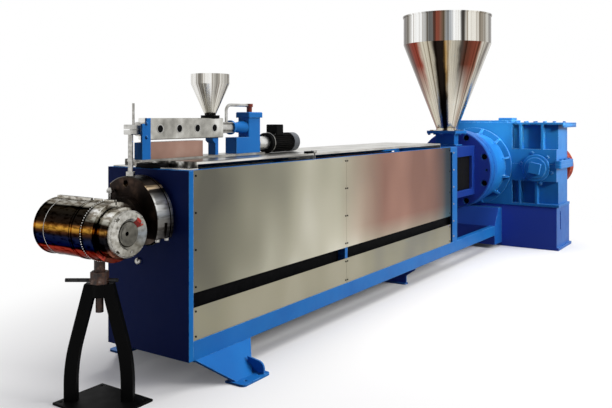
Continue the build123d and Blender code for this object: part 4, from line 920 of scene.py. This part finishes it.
# Red mark of paint on the ring nut: a strip on the slope of its bore and one on its face
MARK_FROM = math.radians(24)
MARK_TO = math.radians(60)
BEVEL_R = 78 * MM
BORE_R = 60 * MM
MARK_WIDTH = 14 * MM
MARK_RISE = 0.2 * MM
SLOPE_LIFT = 0.5 * MM
FLAT_LIFT = 0.6 * MM
slope_rise = BEVEL_R - BORE_R - 2 * MM
slope = paint_patch(BEVEL_R - SLOPE_LIFT, BORE_R + 1 * MM, slope_rise, MARK_FROM, MARK_TO)
slope = spread("slope", slope, [((head_x, nut_face - SLOPE_LIFT, head_z), TO_FAR_SIDE)])
flat = paint_patch(BEVEL_R + MARK_WIDTH, BEVEL_R - 1 * MM, MARK_RISE, MARK_FROM, MARK_TO)
flat = spread("flat", flat, [((head_x, nut_face - FLAT_LIFT, head_z), TO_FAR_SIDE)])
done(joined("red_mark", [slope, flat]), red_enamel)

# Rivets along the far edge of the near heater band, except where the neck joins
RIVETS = 72
RIVET_INSET = 4 * MM
NECK_REACH = 0.80
far_low, far_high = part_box("far_heater_band")
bead_r = (far_high[0] - far_low[0]) / 2
rivet_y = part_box("near_heater_band")[1][1] - RIVET_INSET
places = circle_about_y((head_x, rivet_y, head_z), bead_r, RIVETS, 0.5)
places = [(spot, out) for spot, out in places if out[0] < NECK_REACH]
rivet = dome_head(radius=3.4 * MM, height=3.0 * MM)
done(spread("band_rivets", rivet, places), pale_steel)

# Bright tie wire round the far heater band
WIRE_SHARE = 0.72
WIRE_R = 1.6 * MM
BEAD_RISE = 3.5 * MM
wire_y = far_low[1] + (far_high[1] - far_low[1]) * WIRE_SHARE
fresh()
bpy.ops.mesh.primitive_torus_add(major_radius=bead_r - BEAD_RISE, minor_radius=WIRE_R, major_segments=96,
                                 minor_segments=8, location=(head_x, wire_y, head_z),
                                 rotation=(math.radians(90), 0, 0))
done(joined("band_wires", [settled()]), pale_steel)

# Strips and rubber mat on top of the frame in front of the covers
STRIP_SIDES = ((-300 * MM, -85 * MM), (115 * MM, 300 * MM))
STRIP_INSET = 22 * MM
STRIP_DEPTH = 8 * MM
MAT_DEPTH = 26 * MM
COVER_GAP = 4 * MM
MAT_NEAR_Y = -80 * MM
MAT_FAR_Y = 110 * MM
strip_front = plate_front + STRIP_INSET
strip_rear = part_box("front_barrel_cover")[0][0] - COVER_GAP
rail_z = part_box("near_top_rail")[1][2]
strip_z = rail_z + STRIP_DEPTH
mat_z = rail_z + MAT_DEPTH
strips = []
for near, far in STRIP_SIDES:
    strips.append(slab((strip_front, near, rail_z), (strip_rear, far, strip_z), edge=1 * MM))
done(joined("front_strip", strips), bright_sheet)
mat = slab((strip_front, MAT_NEAR_Y, rail_z), (strip_rear, MAT_FAR_Y, mat_z), edge=5 * MM)
done(joined("front_mat", [mat]), black_rubber)

# Latch and its keeper beside the seam of the covers, inward from their near edge
LATCH_ALONG = (-70 * MM, -6 * MM)
LATCH_INWARD = (6 * MM, 44 * MM)
LATCH_HEIGHT = 14 * MM
KEEPER_ALONG = (8 * MM, 44 * MM)
KEEPER_INWARD = (8 * MM, 40 * MM)
KEEPER_HEIGHT = 18 * MM
seam_x = (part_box("front_barrel_cover")[1][0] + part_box("rear_barrel_cover")[0][0]) / 2
low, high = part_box("rear_barrel_cover")
latch_low = (seam_x + LATCH_ALONG[0], low[1] + LATCH_INWARD[0], high[2])
latch_high = (seam_x + LATCH_ALONG[1], low[1] + LATCH_INWARD[1], high[2] + LATCH_HEIGHT)
done(joined("cover_latch", [slab(latch_low, latch_high, edge=3 * MM)]), black_enamel)
keeper_low = (seam_x + KEEPER_ALONG[0], low[1] + KEEPER_INWARD[0], high[2])
keeper_high = (seam_x + KEEPER_ALONG[1], low[1] + KEEPER_INWARD[1], high[2] + KEEPER_HEIGHT)
done(joined("cover_latch_keeper", [slab(keeper_low, keeper_high, edge=5 * MM)]), zinc_steel)

# Black sheets inside the small extruder's cover, behind its holes, as painted shade in them
COVER_WALL = 3 * MM
SHEET_SIDE = 8 * MM
SHEET_FOOT = 20 * MM
cover_low, cover_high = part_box("second_barrel_cover")
cover_side = cover_high[1]
shade_sheets = mirrored_slabs(
    (cover_low[0] + SHEET_SIDE, cover_side - COVER_WALL - 2 * MM, cover_low[2] + SHEET_FOOT),
    (cover_high[0] - SHEET_SIDE, cover_side - COVER_WALL - 0.2 * MM, cover_high[2] - SHEET_FOOT),
    edge=0.5 * MM)
done(joined("cover_hole_shade_sheets", shade_sheets), black_rubber)

# Bright rims round the cover's holes
HOLES = 4
FIRST_HOLE = 78 * MM
HOLE_PITCH = 153 * MM
RIM_STAND_OFF = 0.8 * MM
cover_z = (cover_low[2] + cover_high[2]) / 2
rim_y = cover_side + RIM_STAND_OFF
points = [(cover_low[0] + FIRST_HOLE + k * HOLE_PITCH, rim_y, cover_z) for k in range(HOLES)]
hole_rim = ring(outer=26 * MM, inner=21.2 * MM, depth=2 * MM, segments=32)
done(spread("cover_hole_rims", hole_rim, both_sides(points)), pale_steel)

# Studs between the small extruder's cover and the upright reducer behind it
STUD_CIRCLE = 41.5 * MM
STUD_R = 5 * MM
stud = cylinder(STUD_R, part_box("second_reducer")[0][0] - cover_high[0], 16)
pick(stud, end_face)
bpy.ops.mesh.bevel(offset=1 * MM, segments=2, affect="EDGES")
places = circle_about_x((cover_high[0], 0, cover_z), STUD_CIRCLE, 4, 0.5, TO_REAR)
done(spread("nozzle_studs", settled(), places), zinc_steel)

# Screws on the near side of the small extruder's front plate, below and above its middle
PLATE_SCREW_RISES = (-46 * MM, 30 * MM)
low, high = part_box("second_front_plate")
plate_x = (low[0] + high[0]) / 2
places = [((plate_x, low[1], cover_z + rise), TO_VIEWER) for rise in PLATE_SCREW_RISES]
plate_screw = hex_head(radius=7 * MM, height=6 * MM)
done(spread("front_plate_screws", plate_screw, places), blue_enamel)

# Bright ring on the flange of the small motor
motor_z = middle_of(*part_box("second_motor_fan_cover"))[2]
RING_SETBACK = 33 * MM
ring_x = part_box("second_motor")[0][0] + RING_SETBACK
flange_ring = ring(outer=71 * MM, inner=55 * MM, depth=6 * MM, segments=64)
done(spread("motor_flange_ring", flange_ring, [((ring_x, 0, motor_z), TO_REAR)]), zinc_steel)

# Floor: pale, with the shadow near the line, white further out, and darker for the light it throws back
FLOOR_SIZE = 120
FLOOR_MIDDLE = (2.5, 0, 0)
fresh()
bpy.ops.mesh.primitive_plane_add(size=FLOOR_SIZE, location=FLOOR_MIDDLE)
floor = bpy.context.object
floor.name = "floor"
floor_material, tree, shader, where = new_material("pale_floor")
away = distance(tree, where, weights=(0.5, 1, 0))
fade = span(tree, away, start=1.0, end=2.6, interpolation_type="SMOOTHSTEP")
seen = seen_by(tree, "Is Camera Ray", "Is Glossy Ray")
fill(tree, shader, {"Base Color": blend(tree, seen, "4A4C50", "F4F3F1"), "Roughness": 0.9})
white = add(tree, "ShaderNodeEmission", {"Color": "FFFFFF", "Strength": 1.0}, "Emission")
layers = {"Fac": maths(tree, "MULTIPLY", fade, seen), 1: shader.outputs["BSDF"], 2: white}
surface = add(tree, "ShaderNodeMixShader", layers, "Shader")
fill(tree, tree.nodes["Material Output"], {"Surface": surface})
floor.data.materials.append(floor_material)


# Lamps: two large soft ones, from the viewer's right and from above, and two narrow warm ones on the drive
def lamp(name, place, target, size, watts, beam_deg=180, tint="FFFFFF"):
    """Square area lamp aimed at a point, with a beam of that width, that polished surfaces don't mirror."""
    data = bpy.data.lights.new(name, "AREA")
    data.size = size
    data.energy = watts
    data.color = linear(tint)[:3]
    data.spread = math.radians(beam_deg)
    lamp_object = bpy.data.objects.new(name, data)
    lamp_object.location = place
    lamp_object.visible_glossy = False
    aim = Vector(target) - Vector(place)
    lamp_object.rotation_euler = aim.to_track_quat("-Z", "Y").to_euler()
    bpy.context.scene.collection.objects.link(lamp_object)


WARM = "FFE1C4"
lamp("key", place=(4.5, -9.0, 5.0), target=(2.6, 0, 0.9), size=5.0, watts=900)
lamp("top", place=(4.2, -0.5, 8.0), target=(3.2, 0, 0), size=7.0, watts=700)
lamp("rear", (3.3, -4.0, 2.5), (4.95, -0.45, 1.30), size=0.5, watts=6.2, beam_deg=26, tint=WARM)
lamp("upper_rear", (2.6, -1.7, 2.7), (4.70, -0.30, 1.47), size=0.3, watts=1.5, beam_deg=16, tint=WARM)

# Surroundings: white where they are seen or mirrored, and a faint cool light on everything else
AMBIENT = 0.08
world = bpy.data.worlds.new("studio")
bpy.context.scene.world = world
world.use_nodes = True
tree = world.node_tree
seen = seen_by(tree, "Is Camera Ray", "Is Glossy Ray", "Is Transmission Ray")
strength = span(tree, seen, first=AMBIENT, last=1.0)
fill(tree, tree.nodes["Background"], {"Color": blend(tree, seen, "BCC0FF", "FFFFFF"), "Strength": strength})
